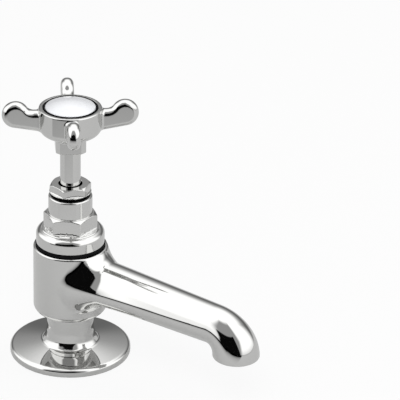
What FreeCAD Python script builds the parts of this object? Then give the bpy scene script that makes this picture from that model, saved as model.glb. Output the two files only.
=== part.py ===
import FreeCAD, Part
import Sketcher
import math
import os

# Basin pillar tap, in millimetres, +Z up, with the spout towards -Y.
# The origin is the centre of the base flange's underside, which rests on the deck of the basin.
# The tap is closed at rest. Opening it turns the handle anticlockwise and raises the spindle.

DOC = FreeCAD.newDocument("basin_pillar_tap")
V = FreeCAD.Vector
AXIS_Z = V(0, 0, 1)

# Driving sizes, grouped by the piece that they belong to

SIZES = {
    # Tail and base flange of the body
    "tail_thread_d": 20.955,
    "tail_length": 46.0,
    "tail_bore_d": 14.0,
    "tail_bore_depth": 50.0,
    "tail_chamfer": 1.2,
    "flange_d": 56.6,
    "flange_edge": 3.7,
    "flange_crown": 6.1,
    "flange_edge_round": 1.9,
    "flange_foot_round": 0.5,
    "recess_outer_d": 46.0,
    "recess_width": 8.0,
    "recess_depth": 1.5,
    # Neck and barrel of the body
    "neck_d": 22.0,
    "neck_fillet": 3.4,
    "barrel_low": 21.4,
    "barrel_foot_rise": 1.0,
    "barrel_d": 34.5,
    "barrel_top": 55.6,
    "barrel_round": 3.5,
    "barrel_neck_round": 1.0,
    "barrel_rim_bevel": 0.8,
    "barrel_rim_reach": 0.6,
    # Valve chamber in the body
    "seat_bore_d": 12.0,
    "seat_d": 14.6,
    "seat_lip": 1.2,
    "seat_depth": 19.6,
    "chamber_d": 19.4,
    "chamber_thread_d": 20.955,
    "chamber_thread_depth": 11.0,
    # Spout of the body
    "spout_reach": 92.0,
    "spout_drop": 13.38,
    "spout_bend": 13.0,
    "spout_slope": 2.9,
    "spout_root_d": 21.8,
    "spout_waist_d": 18.3,
    "outlet_d": 21.6,
    "outlet_edge_round": 0.9,
    "spout_fillet": 4.0,
    "spout_wall": 2.25,
    "waterway_root_d": 11.0,
    "outlet_wall": 2.6,
    "outlet_bore_depth": 4.0,
    "outlet_ledge": 0.4,
    # Anti-splash insert and its ring in the outlet
    "outlet_ring_height": 0.9,
    "outlet_ring_wall": 1.3,
    "insert_height": 2.5,
    "insert_wall": 0.9,
    "insert_vane": 0.8,
    "insert_hub_d": 3.0,
    # Rubber gasket, fixing washer and back nut
    "deck_thickness": 12.0,
    "fixing_washer_d": 44.0,
    "fixing_washer_height": 2.5,
    "fixing_washer_slack": 0.42,
    "backnut_flats": 30.0,
    "backnut_height": 7.0,
    "backnut_chamfer": 1.0,
    # Sealing ring between the body and the bonnet
    "seal_step": 1.0,
    "seal_height": 1.7,
    "seal_round": 0.6,
    # Bonnet
    "bonnet_flange_step": 0.35,
    "bonnet_flange_height": 4.4,
    "bonnet_bevel_width": 3.0,
    "bonnet_bevel_height": 3.1,
    "bonnet_bevel_round": 3.1,
    "bonnet_flats": 22.0,
    "bonnet_hex_height": 7.5,
    "bonnet_hex_chamfer": 1.2,
    "sleeve_d": 20.4,
    "sleeve_height": 8.9,
    "sleeve_rim_round": 0.6,
    "bonnet_nose_length": 10.3,
    "bonnet_thread_bore_d": 14.4,
    "valve_travel": 4.75,
    "stop_gap": 0.85,
    "bonnet_guide_length": 4.0,
    "packing_bore_d": 14.4,
    "bonnet_yaw": 56.3,
    # Gland nut, follower and packing
    "gland_flats": 17.0,
    "gland_collar_d": 18.0,
    "gland_collar_height": 1.8,
    "gland_hex_height": 4.0,
    "gland_hex_chamfer": 0.8,
    "gland_slack": 0.75,
    "gland_thread_length": 5.2,
    "gland_yaw": 16.7,
    "follower_height": 1.0,
    # Spindle
    "spindle_d": 9.5,
    "spindle_foot_slack": 0.7,
    "spindle_foot_length": 10.4,
    "spindle_thread_length": 8.0,
    "spindle_square": 6.4,
    "square_gap": 0.4,
    "socket_depth": 11.0,
    "socket_d": 6.4,
    # Jumper, valve washer and its nut
    "washer_inset": 0.4,
    "washer_height": 3.5,
    "washer_hole_d": 4.2,
    "jumper_plate_height": 2.2,
    "jumper_stem_length": 9.6,
    "jumper_stud_d": 4.0,
    "washer_nut_flats": 6.0,
    "washer_nut_height": 2.2,
    # Handle
    "skirt_width": 13.9,
    "skirt_corner": 2.1,
    "skirt_height": 6.2,
    "skirt_gap": 17.3,
    "hub_d": 28.9,
    "hub_shoulder": 9.3,
    "hub_foot_d": 14.4,
    "hub_bowl_r": 9.5,
    "hub_top": 20.9,
    "hub_rim_round": 0.6,
    "hub_wall": 1.9,
    "arm_lobe_offset": 10.45,
    "arm_lobe_level": 17.7,
    "arm_lobe_r": 6.3,
    "arm_thickness": 5.9,
    "arm_edge_round": 2.2,
    "arm_under_slope": 10.0,
    "arm_waist_angle": 35.0,
    "arm_waist_r": 4.0,
    "handle_seat_depth": 3.0,
    "well_depth": 5.6,
    "handle_well_d": 12.4,
    "disc_recess_depth": 3.6,
    "handle_yaw": 38.6,
    # Handle screw
    "screw_d": 4.0,
    "screw_length": 8.0,
    "screw_head_d": 10.4,
    "screw_head_height": 2.6,
    "screw_slot_width": 1.2,
    "screw_slot_depth": 1.2,
    # Index disc, its black ring and its carrier
    "carrier_height": 1.6,
    "carrier_boss_d": 11.8,
    "carrier_boss_height": 2.4,
    "disc_ring_wall": 0.62,
    "disc_edge": 2.1,
    "disc_rise": 2.8,
    "disc_ring_height": 2.3,
    # Clearances
    "running_gap": 0.08,
    "seat_gap": 0.05,
    "thread_gap": 0.08,
    "loose_gap": 0.15,
    "cut_over": 2.0,
}


class Size:
    """A length or an angle: its number and the text that ties it to the sheet."""

    def __init__(self, value, text):
        self.value = value
        self.text = text

    def __add__(self, other):
        other = sized(other)
        return Size(self.value + other.value, "(%s + %s)" % (self.text, other.text))

    def __sub__(self, other):
        other = sized(other)
        return Size(self.value - other.value, "(%s - %s)" % (self.text, other.text))

    def __mul__(self, other):
        other = sized(other)
        return Size(self.value * other.value, "(%s * %s)" % (self.text, other.text))

    def __truediv__(self, other):
        other = sized(other)
        return Size(self.value / other.value, "(%s / %s)" % (self.text, other.text))

    def __neg__(self):
        return Size(-self.value, "(0 - %s)" % self.text)


def sized(number):
    """Turns a plain number into a Size; a Size stays as it is."""
    return number if isinstance(number, Size) else Size(float(number), repr(float(number)))


def cosine(angle):
    return Size(math.cos(math.radians(angle.value)), "cos(%s)" % angle.text)


def sine(angle):
    return Size(math.sin(math.radians(angle.value)), "sin(%s)" % angle.text)


def tangent(angle):
    return Size(math.tan(math.radians(angle.value)), "tan(%s)" % angle.text)


def make_sheet():
    """Writes the driving sizes to the sheet and gives them back under their names."""
    sheet = DOC.addObject("Spreadsheet::Sheet", "sizes")
    named = {}
    for row, (name, number) in enumerate(SIZES.items(), start=1):
        sheet.set("A%d" % row, name)
        sheet.set("B%d" % row, str(number))
        sheet.setAlias("B%d" % row, name)
        named[name] = Size(number, "sizes.%s" % name)
    DOC.recompute()
    return named


S = make_sheet()
ZERO = sized(0)

# Shares and counts that belong to a form and not to a size

HEX_CORNER_SHARE = 2 / math.sqrt(3)
FULL_TURN = 360
HALF_TURN = 180
QUARTER_TURN = 90
ARM_COUNT = 4
VANE_COUNT = 2
TOLERANCE_SHARE = 0.001

# How near two lengths have to be to count as the same

LENGTH_TOLERANCE = TOLERANCE_SHARE * S["spindle_d"].value


def bind(thing, prop, size):
    """Ties a property to the sheet."""
    thing.setExpression(prop, sized(size).text)


def new_body(name, level=ZERO, yaw=None):
    """A body named after its piece, lifted to its seat and turned about the tap's axis."""
    body = DOC.addObject("PartDesign::Body", name)
    body.Label = name
    turn = FreeCAD.Rotation(AXIS_Z, yaw.value if yaw else 0)
    body.Placement = FreeCAD.Placement(V(0, 0, level.value), turn)
    bind(body, "Placement.Base.z", level)
    if yaw:
        bind(body, "Placement.Rotation.Angle", yaw)
    return body


def new_sketch(body, name, role, lift=None):
    """A sketch on one of the body's origin planes, moved along that plane's normal by lift."""
    sketch = body.newObject("Sketcher::SketchObject", name)
    plane = next(item for item in body.Origin.OriginFeatures if item.Role == role)
    sketch.AttachmentSupport = [(plane, "")]
    sketch.MapMode = "FlatFace"
    if lift is not None:
        bind(sketch, "AttachmentOffset.Base.z", lift)
    return sketch


def tie(sketch, index, end, across, up):
    """Ties one end of a line or arc to its place in the sketch."""
    for kind, size in (("DistanceX", across), ("DistanceY", up)):
        name = "%s_%d_%d" % (kind, index, end)
        place = sketch.addConstraint(Sketcher.Constraint(kind, -1, 1, index, end, size.value))
        sketch.renameConstraint(place, name)
        bind(sketch, "Constraints." + name, size)


def outline(sketch, corners):
    """A closed outline. A corner is (across, up), or (across, up, radius) where an arc leads to it.

    A positive radius bulges to the right of the way from the corner before, a negative one to the left.
    """
    first = sketch.GeometryCount
    count = len(corners)
    for i in range(count):
        start = [sized(item) for item in corners[i][:2]]
        goal = [sized(item) for item in corners[(i + 1) % count]]
        a = V(start[0].value, start[1].value, 0)
        b = V(goal[0].value, goal[1].value, 0)
        if len(goal) == 2:
            sketch.addGeometry(Part.LineSegment(a, b), False)
            continue
        chord = b - a
        radius = abs(goal[2].value)
        side = V(chord.y, -chord.x, 0).normalize() * math.copysign(1, goal[2].value)
        depth = radius - math.sqrt(radius ** 2 - (chord.Length / 2) ** 2)
        sketch.addGeometry(Part.Arc(a, (a + b) / 2 + side * depth, b), False)
    for i in range(count):
        here = first + i
        after = first + (i + 1) % count
        goal = [sized(item) for item in corners[(i + 1) % count]]
        is_arc = len(goal) == 3
        turns_back = is_arc and goal[2].value < 0
        end = 1 if turns_back else 2
        next_goal = [sized(item) for item in corners[(i + 2) % count]]
        next_start = 2 if len(next_goal) == 3 and next_goal[2].value < 0 else 1
        tie(sketch, here, end, goal[0], goal[1])
        sketch.addConstraint(Sketcher.Constraint("Coincident", here, end, after, next_start))
        if is_arc:
            place = sketch.addConstraint(Sketcher.Constraint("Radius", here, abs(goal[2].value)))
            sketch.renameConstraint(place, "Radius_%d" % here)
            bind(sketch, "Constraints.Radius_%d" % here, -goal[2] if goal[2].value < 0 else goal[2])


def ring(sketch, diameter, across=ZERO, up=ZERO):
    """A circle of a given diameter."""
    index = sketch.addGeometry(Part.Circle(V(across.value, up.value, 0), AXIS_Z, diameter.value / 2), False)
    place = sketch.addConstraint(Sketcher.Constraint("Diameter", index, diameter.value))
    sketch.renameConstraint(place, "Diameter_%d" % index)
    bind(sketch, "Constraints.Diameter_%d" % index, diameter)
    tie(sketch, index, 3, across, up)


def hexagon(sketch, flats):
    """A regular hexagon about the origin, with two corners on the sketch's own X axis."""
    corner = flats / 2 * HEX_CORNER_SHARE
    half = corner / 2
    flat = flats / 2
    outline(sketch, [(corner, 0), (half, flat), (-half, flat), (-corner, 0), (-half, -flat), (half, -flat)])


def turned(body, name, corners, cut=False):
    """A revolved piece, or a revolved cut, from an outline of (radius, height) corners."""
    sketch = new_sketch(body, name + "_outline", "XZ_Plane")
    outline(sketch, corners)
    kind = "PartDesign::Groove" if cut else "PartDesign::Revolution"
    feature = body.newObject(kind, name)
    feature.Profile = sketch
    feature.ReferenceAxis = (sketch, ["V_Axis"])
    feature.Angle = FULL_TURN
    DOC.recompute()
    return feature


def padded(body, name, draw, length, lift=ZERO, role="XY_Plane", midplane=False):
    """A pad whose sketch is drawn by draw(sketch)."""
    sketch = new_sketch(body, name + "_outline", role, lift)
    draw(sketch)
    pad = body.newObject("PartDesign::Pad", name)
    pad.Profile = sketch
    pad.Midplane = midplane
    bind(pad, "Length", length)
    DOC.recompute()
    return pad


def pocketed(body, name, draw, length, lift=ZERO, upward=False):
    """A pocket whose sketch is drawn by draw(sketch), cut down from lift, or up from it."""
    sketch = new_sketch(body, name + "_outline", "XY_Plane", lift)
    draw(sketch)
    before = body.Tip.Shape.Volume
    pocket = body.newObject("PartDesign::Pocket", name)
    pocket.Profile = sketch
    pocket.Reversed = upward
    bind(pocket, "Length", length)
    DOC.recompute()
    if not pocket.Shape.Volume < before:
        raise RuntimeError("%s cuts nothing" % name)
    return pocket


def circle_edges(shape, radius, height):
    """Names of the whole circles about the Z axis at a radius and height."""
    found = []
    for number, edge in enumerate(shape.Edges, start=1):
        curve = edge.Curve
        if not isinstance(curve, Part.Circle):
            continue
        near = abs(curve.Radius - radius.value) < LENGTH_TOLERANCE
        level = abs(curve.Center.z - height.value) < LENGTH_TOLERANCE
        if near and level:
            found.append("Edge%d" % number)
    return found


def rounded(body, name, edges, radius):
    """A fillet on the named edges of the body's tip."""
    base = body.Tip
    if not edges:
        raise RuntimeError("%s finds no edge" % name)
    fillet = body.newObject("PartDesign::Fillet", name)
    fillet.Base = (base, edges)
    bind(fillet, "Radius", radius)
    DOC.recompute()
    return fillet


def rounded_circle(body, name, radius, height, size):
    """A fillet on the circle about the Z axis at a radius and height."""
    return rounded(body, name, circle_edges(body.Tip.Shape, radius, height), size)


# Widths that follow from the piece around them

recess_inner_d = S["recess_outer_d"] - S["recess_width"] * 2
seal_d = S["barrel_d"] - S["seal_step"] * 2
bonnet_flange_d = seal_d - S["bonnet_flange_step"] * 2
spindle_foot_d = S["bonnet_thread_bore_d"] - S["spindle_foot_slack"] * 2
washer_d = S["seat_d"] - S["washer_inset"] * 2
outlet_bore_d = S["outlet_d"] - S["outlet_wall"] * 2
disc_recess_d = S["hub_d"] - S["hub_wall"] * 2
disc_ring_d = disc_recess_d - S["loose_gap"] * 2
disc_d = disc_ring_d - (S["disc_ring_wall"] + S["running_gap"]) * 2

# Levels of the seats, from the deck upward

barrel_shoulder = S["barrel_low"] + S["barrel_foot_rise"]
seat_level = S["barrel_top"] - S["seat_depth"]
bonnet_level = S["barrel_top"] + S["seal_height"]
bonnet_hex_low = S["bonnet_flange_height"] + S["bonnet_bevel_height"]
sleeve_top = bonnet_hex_low + S["bonnet_hex_height"] + S["sleeve_height"]
gland_level = bonnet_level + sleeve_top
follower_level = gland_level - S["gland_thread_length"] - S["follower_height"]
washer_level = seat_level + S["seat_gap"]
plate_level = washer_level + S["washer_height"]
spindle_level = plate_level + S["jumper_plate_height"] + S["seat_gap"]
collar_top = spindle_level + S["spindle_foot_length"] + S["spindle_thread_length"]
stop_level = collar_top + S["valve_travel"] + S["stop_gap"]
packing_level = stop_level + S["bonnet_guide_length"]
gland_top = gland_level + S["gland_collar_height"] + S["gland_hex_height"]
handle_level = gland_top + S["skirt_gap"]
handle_seat_level = handle_level + S["handle_seat_depth"]
handle_floor = S["hub_top"] - S["disc_recess_depth"] - S["well_depth"]
square_length = handle_floor - S["handle_seat_depth"] - S["square_gap"]
carrier_level = handle_level + S["hub_top"] - S["disc_recess_depth"]
disc_level = carrier_level + S["carrier_height"]


def spout_corner_points():
    """Where the spout's straight run meets the bend, and its height at the tap's axis."""
    bend_y = S["spout_reach"] - S["spout_bend"] * (sized(1) - sine(S["spout_slope"]))
    root_z = S["barrel_top"] - S["spout_drop"]
    bend_z = root_z - bend_y * tangent(S["spout_slope"])
    return bend_y, bend_z, root_z


bend_y, bend_z, root_z = spout_corner_points()
outlet_level = bend_z - S["spout_bend"] * cosine(S["spout_slope"])


def spout_path(body, name):
    """The spout's centre line: a gently falling run and the bend down to the outlet."""
    path = new_sketch(body, name, "YZ_Plane")
    start = V(0, root_z.value, 0)
    meet = V(-bend_y.value, bend_z.value, 0)
    end = V(-S["spout_reach"].value, outlet_level.value, 0)
    centre = V(-(S["spout_reach"] - S["spout_bend"]).value, outlet_level.value, 0)
    way = math.radians((QUARTER_TURN + S["spout_slope"].value + HALF_TURN) / 2)
    middle = centre + V(math.cos(way), math.sin(way), 0) * S["spout_bend"].value
    path.addGeometry(Part.LineSegment(start, meet), False)
    path.addGeometry(Part.Arc(meet, middle, end), False)
    tie(path, 0, 1, ZERO, root_z)
    tie(path, 0, 2, -bend_y, bend_z)
    tie(path, 1, 2, -S["spout_reach"], outlet_level)
    path.addConstraint(Sketcher.Constraint("Coincident", 0, 2, 1, 1))
    place = path.addConstraint(Sketcher.Constraint("Radius", 1, S["spout_bend"].value))
    path.renameConstraint(place, "Radius_bend")
    bind(path, "Constraints.Radius_bend", S["spout_bend"])
    return path


def spout_section(body, name, diameter, away, level, tilt=None):
    """A circle square to the spout's run, at a distance from the tap's axis."""
    sketch = new_sketch(body, name, "XZ_Plane")
    angle = tilt.value if tilt else 0
    sketch.AttachmentOffset = FreeCAD.Placement(V(0, 0, 0), FreeCAD.Rotation(V(1, 0, 0), angle))
    bind(sketch, "AttachmentOffset.Base.y", level)
    bind(sketch, "AttachmentOffset.Base.z", away)
    if tilt:
        bind(sketch, "AttachmentOffset.Rotation.Angle", tilt)
    ring(sketch, diameter)
    return sketch


def spout_sweep(body, name, root_d, waist_d, mouth_d, cut=False):
    """The spout's outside, or its waterway, swept through three circles."""
    root = spout_section(body, name + "_root", root_d, ZERO, root_z, S["spout_slope"])
    waist = spout_section(body, name + "_waist", waist_d, bend_y, bend_z, S["spout_slope"])
    mouth = new_sketch(body, name + "_mouth", "XY_Plane", outlet_level)
    ring(mouth, mouth_d, ZERO, -S["spout_reach"])
    path = spout_path(body, name + "_path")
    DOC.recompute()
    kind = "PartDesign::SubtractivePipe" if cut else "PartDesign::AdditivePipe"
    sweep = body.newObject(kind, name)
    sweep.Profile = (root, [""])
    sweep.Spine = (path, ["Edge1", "Edge2"])
    sweep.Sections = [(waist, [""]), (mouth, [""])]
    sweep.Mode = "Standard"
    sweep.Transformation = "Multisection"
    DOC.recompute()
    return sweep


def make_tap_body():
    """The casting: threaded tail, base flange, neck, barrel and hollow spout in one piece."""
    body = new_body("tap_body")
    tail_r = S["tail_thread_d"] / 2
    neck_r = S["neck_d"] / 2
    barrel_r = S["barrel_d"] / 2
    flange_r = S["flange_d"] / 2
    turned(body, "casting", [
        (0, -S["tail_length"]),
        (tail_r - S["tail_chamfer"], -S["tail_length"]),
        (tail_r, S["tail_chamfer"] - S["tail_length"]),
        (tail_r, 0),
        (flange_r, 0),
        (flange_r, S["flange_edge"]),
        (neck_r, S["flange_crown"]),
        (neck_r, S["barrel_low"]),
        (barrel_r, barrel_shoulder),
        (barrel_r, S["barrel_top"]),
        (0, S["barrel_top"]),
    ])
    rounded_circle(body, "barrel_shoulder_round", barrel_r, barrel_shoulder, S["barrel_round"])
    rounded_circle(body, "barrel_neck_round", neck_r, S["barrel_low"], S["barrel_neck_round"])
    rounded_circle(body, "neck_foot_fillet", neck_r, S["flange_crown"], S["neck_fillet"])
    rounded_circle(body, "flange_edge_round", flange_r, S["flange_edge"], S["flange_edge_round"])
    rounded_circle(body, "flange_foot_round", flange_r, ZERO, S["flange_foot_round"])
    spout_sweep(body, "spout", S["spout_root_d"], S["spout_waist_d"], S["outlet_d"])
    joint = [
        "Edge%d" % number
        for number, edge in enumerate(body.Tip.Shape.Edges, start=1)
        if isinstance(edge.Curve, Part.BSplineCurve)
        and abs(edge.CenterOfMass.x) < LENGTH_TOLERANCE
        and abs(edge.CenterOfMass.y) < barrel_r.value
    ]
    rounded(body, "spout_root_fillet", joint, S["spout_fillet"])
    mouth = [
        "Edge%d" % number
        for number, edge in enumerate(body.Tip.Shape.Edges, start=1)
        if abs(edge.CenterOfMass.z - outlet_level.value) < LENGTH_TOLERANCE
        and abs(edge.CenterOfMass.y + S["spout_reach"].value) < barrel_r.value
    ]
    rounded(body, "outlet_edge_round", mouth, S["outlet_edge_round"])
    bevel = S["barrel_rim_bevel"]
    reach = S["barrel_rim_reach"]
    turned(body, "barrel_rim_bevel", [
        (barrel_r - bevel, S["barrel_top"]),
        (barrel_r + reach, S["barrel_top"]),
        (barrel_r + reach, S["barrel_top"] - bevel - reach),
    ], cut=True)
    return body


def drill_tap_body(body):
    """Waterways, the valve chamber with its seat, the outlet's bore and the gasket's recess."""
    over = S["cut_over"]
    top = S["barrel_top"] + over
    seat_floor = seat_level - S["seat_lip"]
    thread_low = S["barrel_top"] - S["chamber_thread_depth"]
    bore_top = S["tail_bore_depth"] - S["tail_length"]
    waist_d = S["spout_waist_d"] - S["spout_wall"] * 2
    mouth_d = outlet_bore_d - S["outlet_ledge"] * 2
    spout_sweep(body, "waterway", S["waterway_root_d"], waist_d, mouth_d, cut=True)
    turned(body, "chamber", [
        (0, seat_level),
        (S["seat_d"] / 2, seat_level),
        (S["seat_d"] / 2, seat_floor),
        (S["chamber_d"] / 2, seat_floor),
        (S["chamber_d"] / 2, thread_low),
        (S["chamber_thread_d"] / 2, thread_low),
        (S["chamber_thread_d"] / 2, top),
        (0, top),
    ], cut=True)
    turned(body, "inlet", [
        (0, -S["tail_length"] - over),
        (S["tail_bore_d"] / 2, -S["tail_length"] - over),
        (S["tail_bore_d"] / 2, bore_top),
        (S["seat_bore_d"] / 2, bore_top + (S["tail_bore_d"] - S["seat_bore_d"]) / 2),
        (S["seat_bore_d"] / 2, seat_level + over),
        (0, seat_level + over),
    ], cut=True)
    turned(body, "gasket_recess", [
        (recess_inner_d / 2, -over),
        (S["recess_outer_d"] / 2, -over),
        (S["recess_outer_d"] / 2, S["recess_depth"]),
        (recess_inner_d / 2, S["recess_depth"]),
    ], cut=True)
    pocketed(
        body,
        "outlet_bore",
        lambda sketch: ring(sketch, outlet_bore_d, ZERO, -S["spout_reach"]),
        S["outlet_bore_depth"],
        outlet_level,
        upward=True,
    )
    return body


def make_tube(name, inner_d, outer_d, height, level):
    """A plain ring about the tap's axis."""
    body = new_body(name, level)

    def draw(sketch):
        ring(sketch, outer_d)
        ring(sketch, inner_d)

    padded(body, name + "_pad", draw, height)
    return body


def hex_chamfer(body, name, flats, chamfer, level, downward=False):
    """Turns the corners of a hexagon off at its top, or at its underside."""
    flat_r = flats / 2
    corner_r = flat_r * HEX_CORNER_SHARE
    outer = corner_r + S["cut_over"]
    fall = chamfer * (outer - flat_r) / (corner_r - flat_r)
    edge = level + fall if downward else level - fall
    turned(body, name, [(flat_r, level), (outer, level), (outer, edge)], cut=True)


def make_base_gasket():
    """The rubber ring in the recess under the base flange."""
    gap = S["loose_gap"] * 2
    outer_d = S["recess_outer_d"] - gap
    return make_tube("base_gasket", recess_inner_d + gap, outer_d, S["recess_depth"], ZERO)


def make_fixing_washer():
    """The washer between the deck's underside and the back nut."""
    level = -(S["deck_thickness"] + S["fixing_washer_height"])
    inner_d = S["tail_thread_d"] + S["fixing_washer_slack"] * 2
    return make_tube("fixing_washer", inner_d, S["fixing_washer_d"], S["fixing_washer_height"], level)


def make_backnut():
    """The hexagonal nut that pulls the tap down onto the deck."""
    level = -(S["deck_thickness"] + S["fixing_washer_height"] + S["backnut_height"])
    body = new_body("backnut", level)

    def draw(sketch):
        hexagon(sketch, S["backnut_flats"])
        ring(sketch, S["tail_thread_d"] + S["thread_gap"] * 2)

    padded(body, "nut", draw, S["backnut_height"])
    hex_chamfer(body, "upper_chamfer", S["backnut_flats"], S["backnut_chamfer"], S["backnut_height"])
    hex_chamfer(body, "lower_chamfer", S["backnut_flats"], S["backnut_chamfer"], ZERO, downward=True)
    return body


def make_body_seal():
    """The black ring squeezed between the barrel and the bonnet."""
    body = make_tube(
        "body_seal", S["chamber_thread_d"], seal_d, S["seal_height"], S["barrel_top"]
    )
    rounded_circle(body, "upper_round", seal_d / 2, S["seal_height"], S["seal_round"])
    rounded_circle(body, "lower_round", seal_d / 2, ZERO, S["seal_round"])
    return body


def make_bonnet():
    """The valve's bonnet: threaded nose, round flange, hexagon and sleeve, bored for the spindle."""
    body = new_body("bonnet", bonnet_level, S["bonnet_yaw"])
    thread_r = S["chamber_thread_d"] / 2 - S["thread_gap"]
    flange_r = bonnet_flange_d / 2
    hex_top = bonnet_hex_low + S["bonnet_hex_height"]
    stop = stop_level - bonnet_level
    guide_top = stop + S["bonnet_guide_length"]
    over = S["cut_over"]

    def draw(sketch):
        hexagon(sketch, S["bonnet_flats"])

    turned(body, "flange", [
        (0, -S["bonnet_nose_length"]),
        (thread_r, -S["bonnet_nose_length"]),
        (thread_r, 0),
        (flange_r, 0),
        (flange_r, S["bonnet_flange_height"]),
        (flange_r - S["bonnet_bevel_width"], bonnet_hex_low, S["bonnet_bevel_round"]),
        (0, bonnet_hex_low),
    ])
    padded(body, "hexagon", draw, S["bonnet_hex_height"], bonnet_hex_low)
    hex_chamfer(body, "hexagon_chamfer", S["bonnet_flats"], S["bonnet_hex_chamfer"], hex_top)
    turned(body, "sleeve", [
        (0, bonnet_hex_low),
        (S["sleeve_d"] / 2, bonnet_hex_low),
        (S["sleeve_d"] / 2, sleeve_top),
        (0, sleeve_top),
    ])
    rounded_circle(body, "sleeve_rim", S["sleeve_d"] / 2, sleeve_top, S["sleeve_rim_round"])
    turned(body, "bores", [
        (0, -S["bonnet_nose_length"] - over),
        (S["bonnet_thread_bore_d"] / 2, -S["bonnet_nose_length"] - over),
        (S["bonnet_thread_bore_d"] / 2, stop),
        (S["spindle_d"] / 2 + S["running_gap"], stop),
        (S["spindle_d"] / 2 + S["running_gap"], guide_top),
        (S["packing_bore_d"] / 2, guide_top),
        (S["packing_bore_d"] / 2, sleeve_top + over),
        (0, sleeve_top + over),
    ], cut=True)
    return body


def make_gland_nut():
    """The small hexagonal nut that squeezes the packing; its collar rests on the sleeve."""
    body = new_body("gland_nut", gland_level, S["gland_yaw"])
    thread_r = S["packing_bore_d"] / 2 - S["thread_gap"]
    gland_bore_r = S["spindle_d"] / 2 + S["gland_slack"]
    hex_low = S["gland_collar_height"]
    top = hex_low + S["gland_hex_height"]
    turned(body, "shank", [
        (gland_bore_r, -S["gland_thread_length"]),
        (thread_r, -S["gland_thread_length"]),
        (thread_r, 0),
        (S["gland_collar_d"] / 2, 0),
        (S["gland_collar_d"] / 2, hex_low),
        (gland_bore_r, hex_low),
    ])

    def draw(sketch):
        hexagon(sketch, S["gland_flats"])
        ring(sketch, gland_bore_r * 2)

    padded(body, "hexagon", draw, S["gland_hex_height"], hex_low)
    hex_chamfer(body, "upper_chamfer", S["gland_flats"], S["gland_hex_chamfer"], top)
    return body


def make_gland_follower():
    """The brass ring between the gland nut and the packing."""
    return make_tube(
        "gland_follower",
        S["spindle_d"] + S["running_gap"] * 2,
        S["packing_bore_d"] - S["loose_gap"] * 2,
        S["follower_height"],
        follower_level,
    )


def make_gland_packing():
    """The packing that seals the spindle in the sleeve."""
    return make_tube(
        "gland_packing",
        S["spindle_d"] + S["running_gap"] * 2,
        S["packing_bore_d"] - S["running_gap"] * 2,
        follower_level - packing_level,
        packing_level,
    )


def make_spindle():
    """The rising spindle: foot with its socket, screwed collar, bright column and square end."""
    body = new_body("spindle", spindle_level, S["handle_yaw"])
    foot_top = S["spindle_foot_length"]
    thread_top = foot_top + S["spindle_thread_length"]
    column_top = handle_seat_level - spindle_level
    thread_r = S["bonnet_thread_bore_d"] / 2 - S["running_gap"]
    turned(body, "shaft", [
        (S["socket_d"] / 2, 0),
        (spindle_foot_d / 2, 0),
        (spindle_foot_d / 2, foot_top),
        (thread_r, foot_top),
        (thread_r, thread_top),
        (S["spindle_d"] / 2, thread_top),
        (S["spindle_d"] / 2, column_top),
        (0, column_top),
        (0, S["socket_depth"]),
        (S["socket_d"] / 2, S["socket_depth"]),
    ])
    half = S["spindle_square"] / 2
    padded(
        body,
        "square_end",
        lambda sketch: outline(sketch, [(half, half), (-half, half), (-half, -half), (half, -half)]),
        square_length,
        column_top,
    )
    pocketed(
        body,
        "screw_hole",
        lambda sketch: ring(sketch, S["screw_d"]),
        S["screw_length"] + S["cut_over"],
        column_top + square_length,
    )
    return body


def make_valve_jumper():
    """The plate that carries the washer: a stem for the spindle's socket and a stud for the nut."""
    body = new_body("valve_jumper", plate_level)
    stem_r = S["socket_d"] / 2 - S["running_gap"]
    stud_length = S["washer_height"] + S["washer_nut_height"]
    turned(body, "plate", [
        (0, -stud_length),
        (S["jumper_stud_d"] / 2, -stud_length),
        (S["jumper_stud_d"] / 2, 0),
        (washer_d / 2, 0),
        (washer_d / 2, S["jumper_plate_height"]),
        (stem_r, S["jumper_plate_height"]),
        (stem_r, S["jumper_plate_height"] + S["jumper_stem_length"]),
        (0, S["jumper_plate_height"] + S["jumper_stem_length"]),
    ])
    return body


def make_valve_washer():
    """The rubber washer that closes the seat."""
    return make_tube(
        "valve_washer",
        S["washer_hole_d"],
        washer_d,
        S["washer_height"],
        washer_level,
    )


def make_washer_nut():
    """The small nut that holds the washer to the jumper."""
    body = new_body("washer_nut", washer_level - S["washer_nut_height"])

    def draw(sketch):
        hexagon(sketch, S["washer_nut_flats"])
        ring(sketch, S["jumper_stud_d"] + S["thread_gap"] * 2)

    padded(body, "nut", draw, S["washer_nut_height"])
    return body


def arm_outline(sketch):
    """Side view of one arm: a round lobe that stands above a waist, and a straight underside."""
    lobe_r = S["arm_lobe_r"]
    across = S["hub_d"] / 2 + S["arm_lobe_offset"]
    up = S["arm_lobe_level"]
    slope = S["arm_under_slope"]
    waist = S["arm_waist_angle"]
    root = S["hub_d"] / 2 - S["hub_wall"]
    under_across = across + lobe_r * sine(slope)
    under_up = up - lobe_r * cosine(slope)
    root_up = under_up - (under_across - root) * tangent(slope)
    leave_across = across - lobe_r * cosine(waist)
    leave_up = up + lobe_r * sine(waist)
    neck_across = leave_across - S["arm_waist_r"] * cosine(waist)
    neck_up = leave_up - S["arm_waist_r"] * (sized(1) - sine(waist))
    outline(sketch, [
        (root, root_up),
        (under_across, under_up),
        (across + lobe_r, up, lobe_r),
        (across, up + lobe_r, lobe_r),
        (leave_across, leave_up, lobe_r),
        (neck_across, neck_up, -S["arm_waist_r"]),
        (root, neck_up),
    ])


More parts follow.
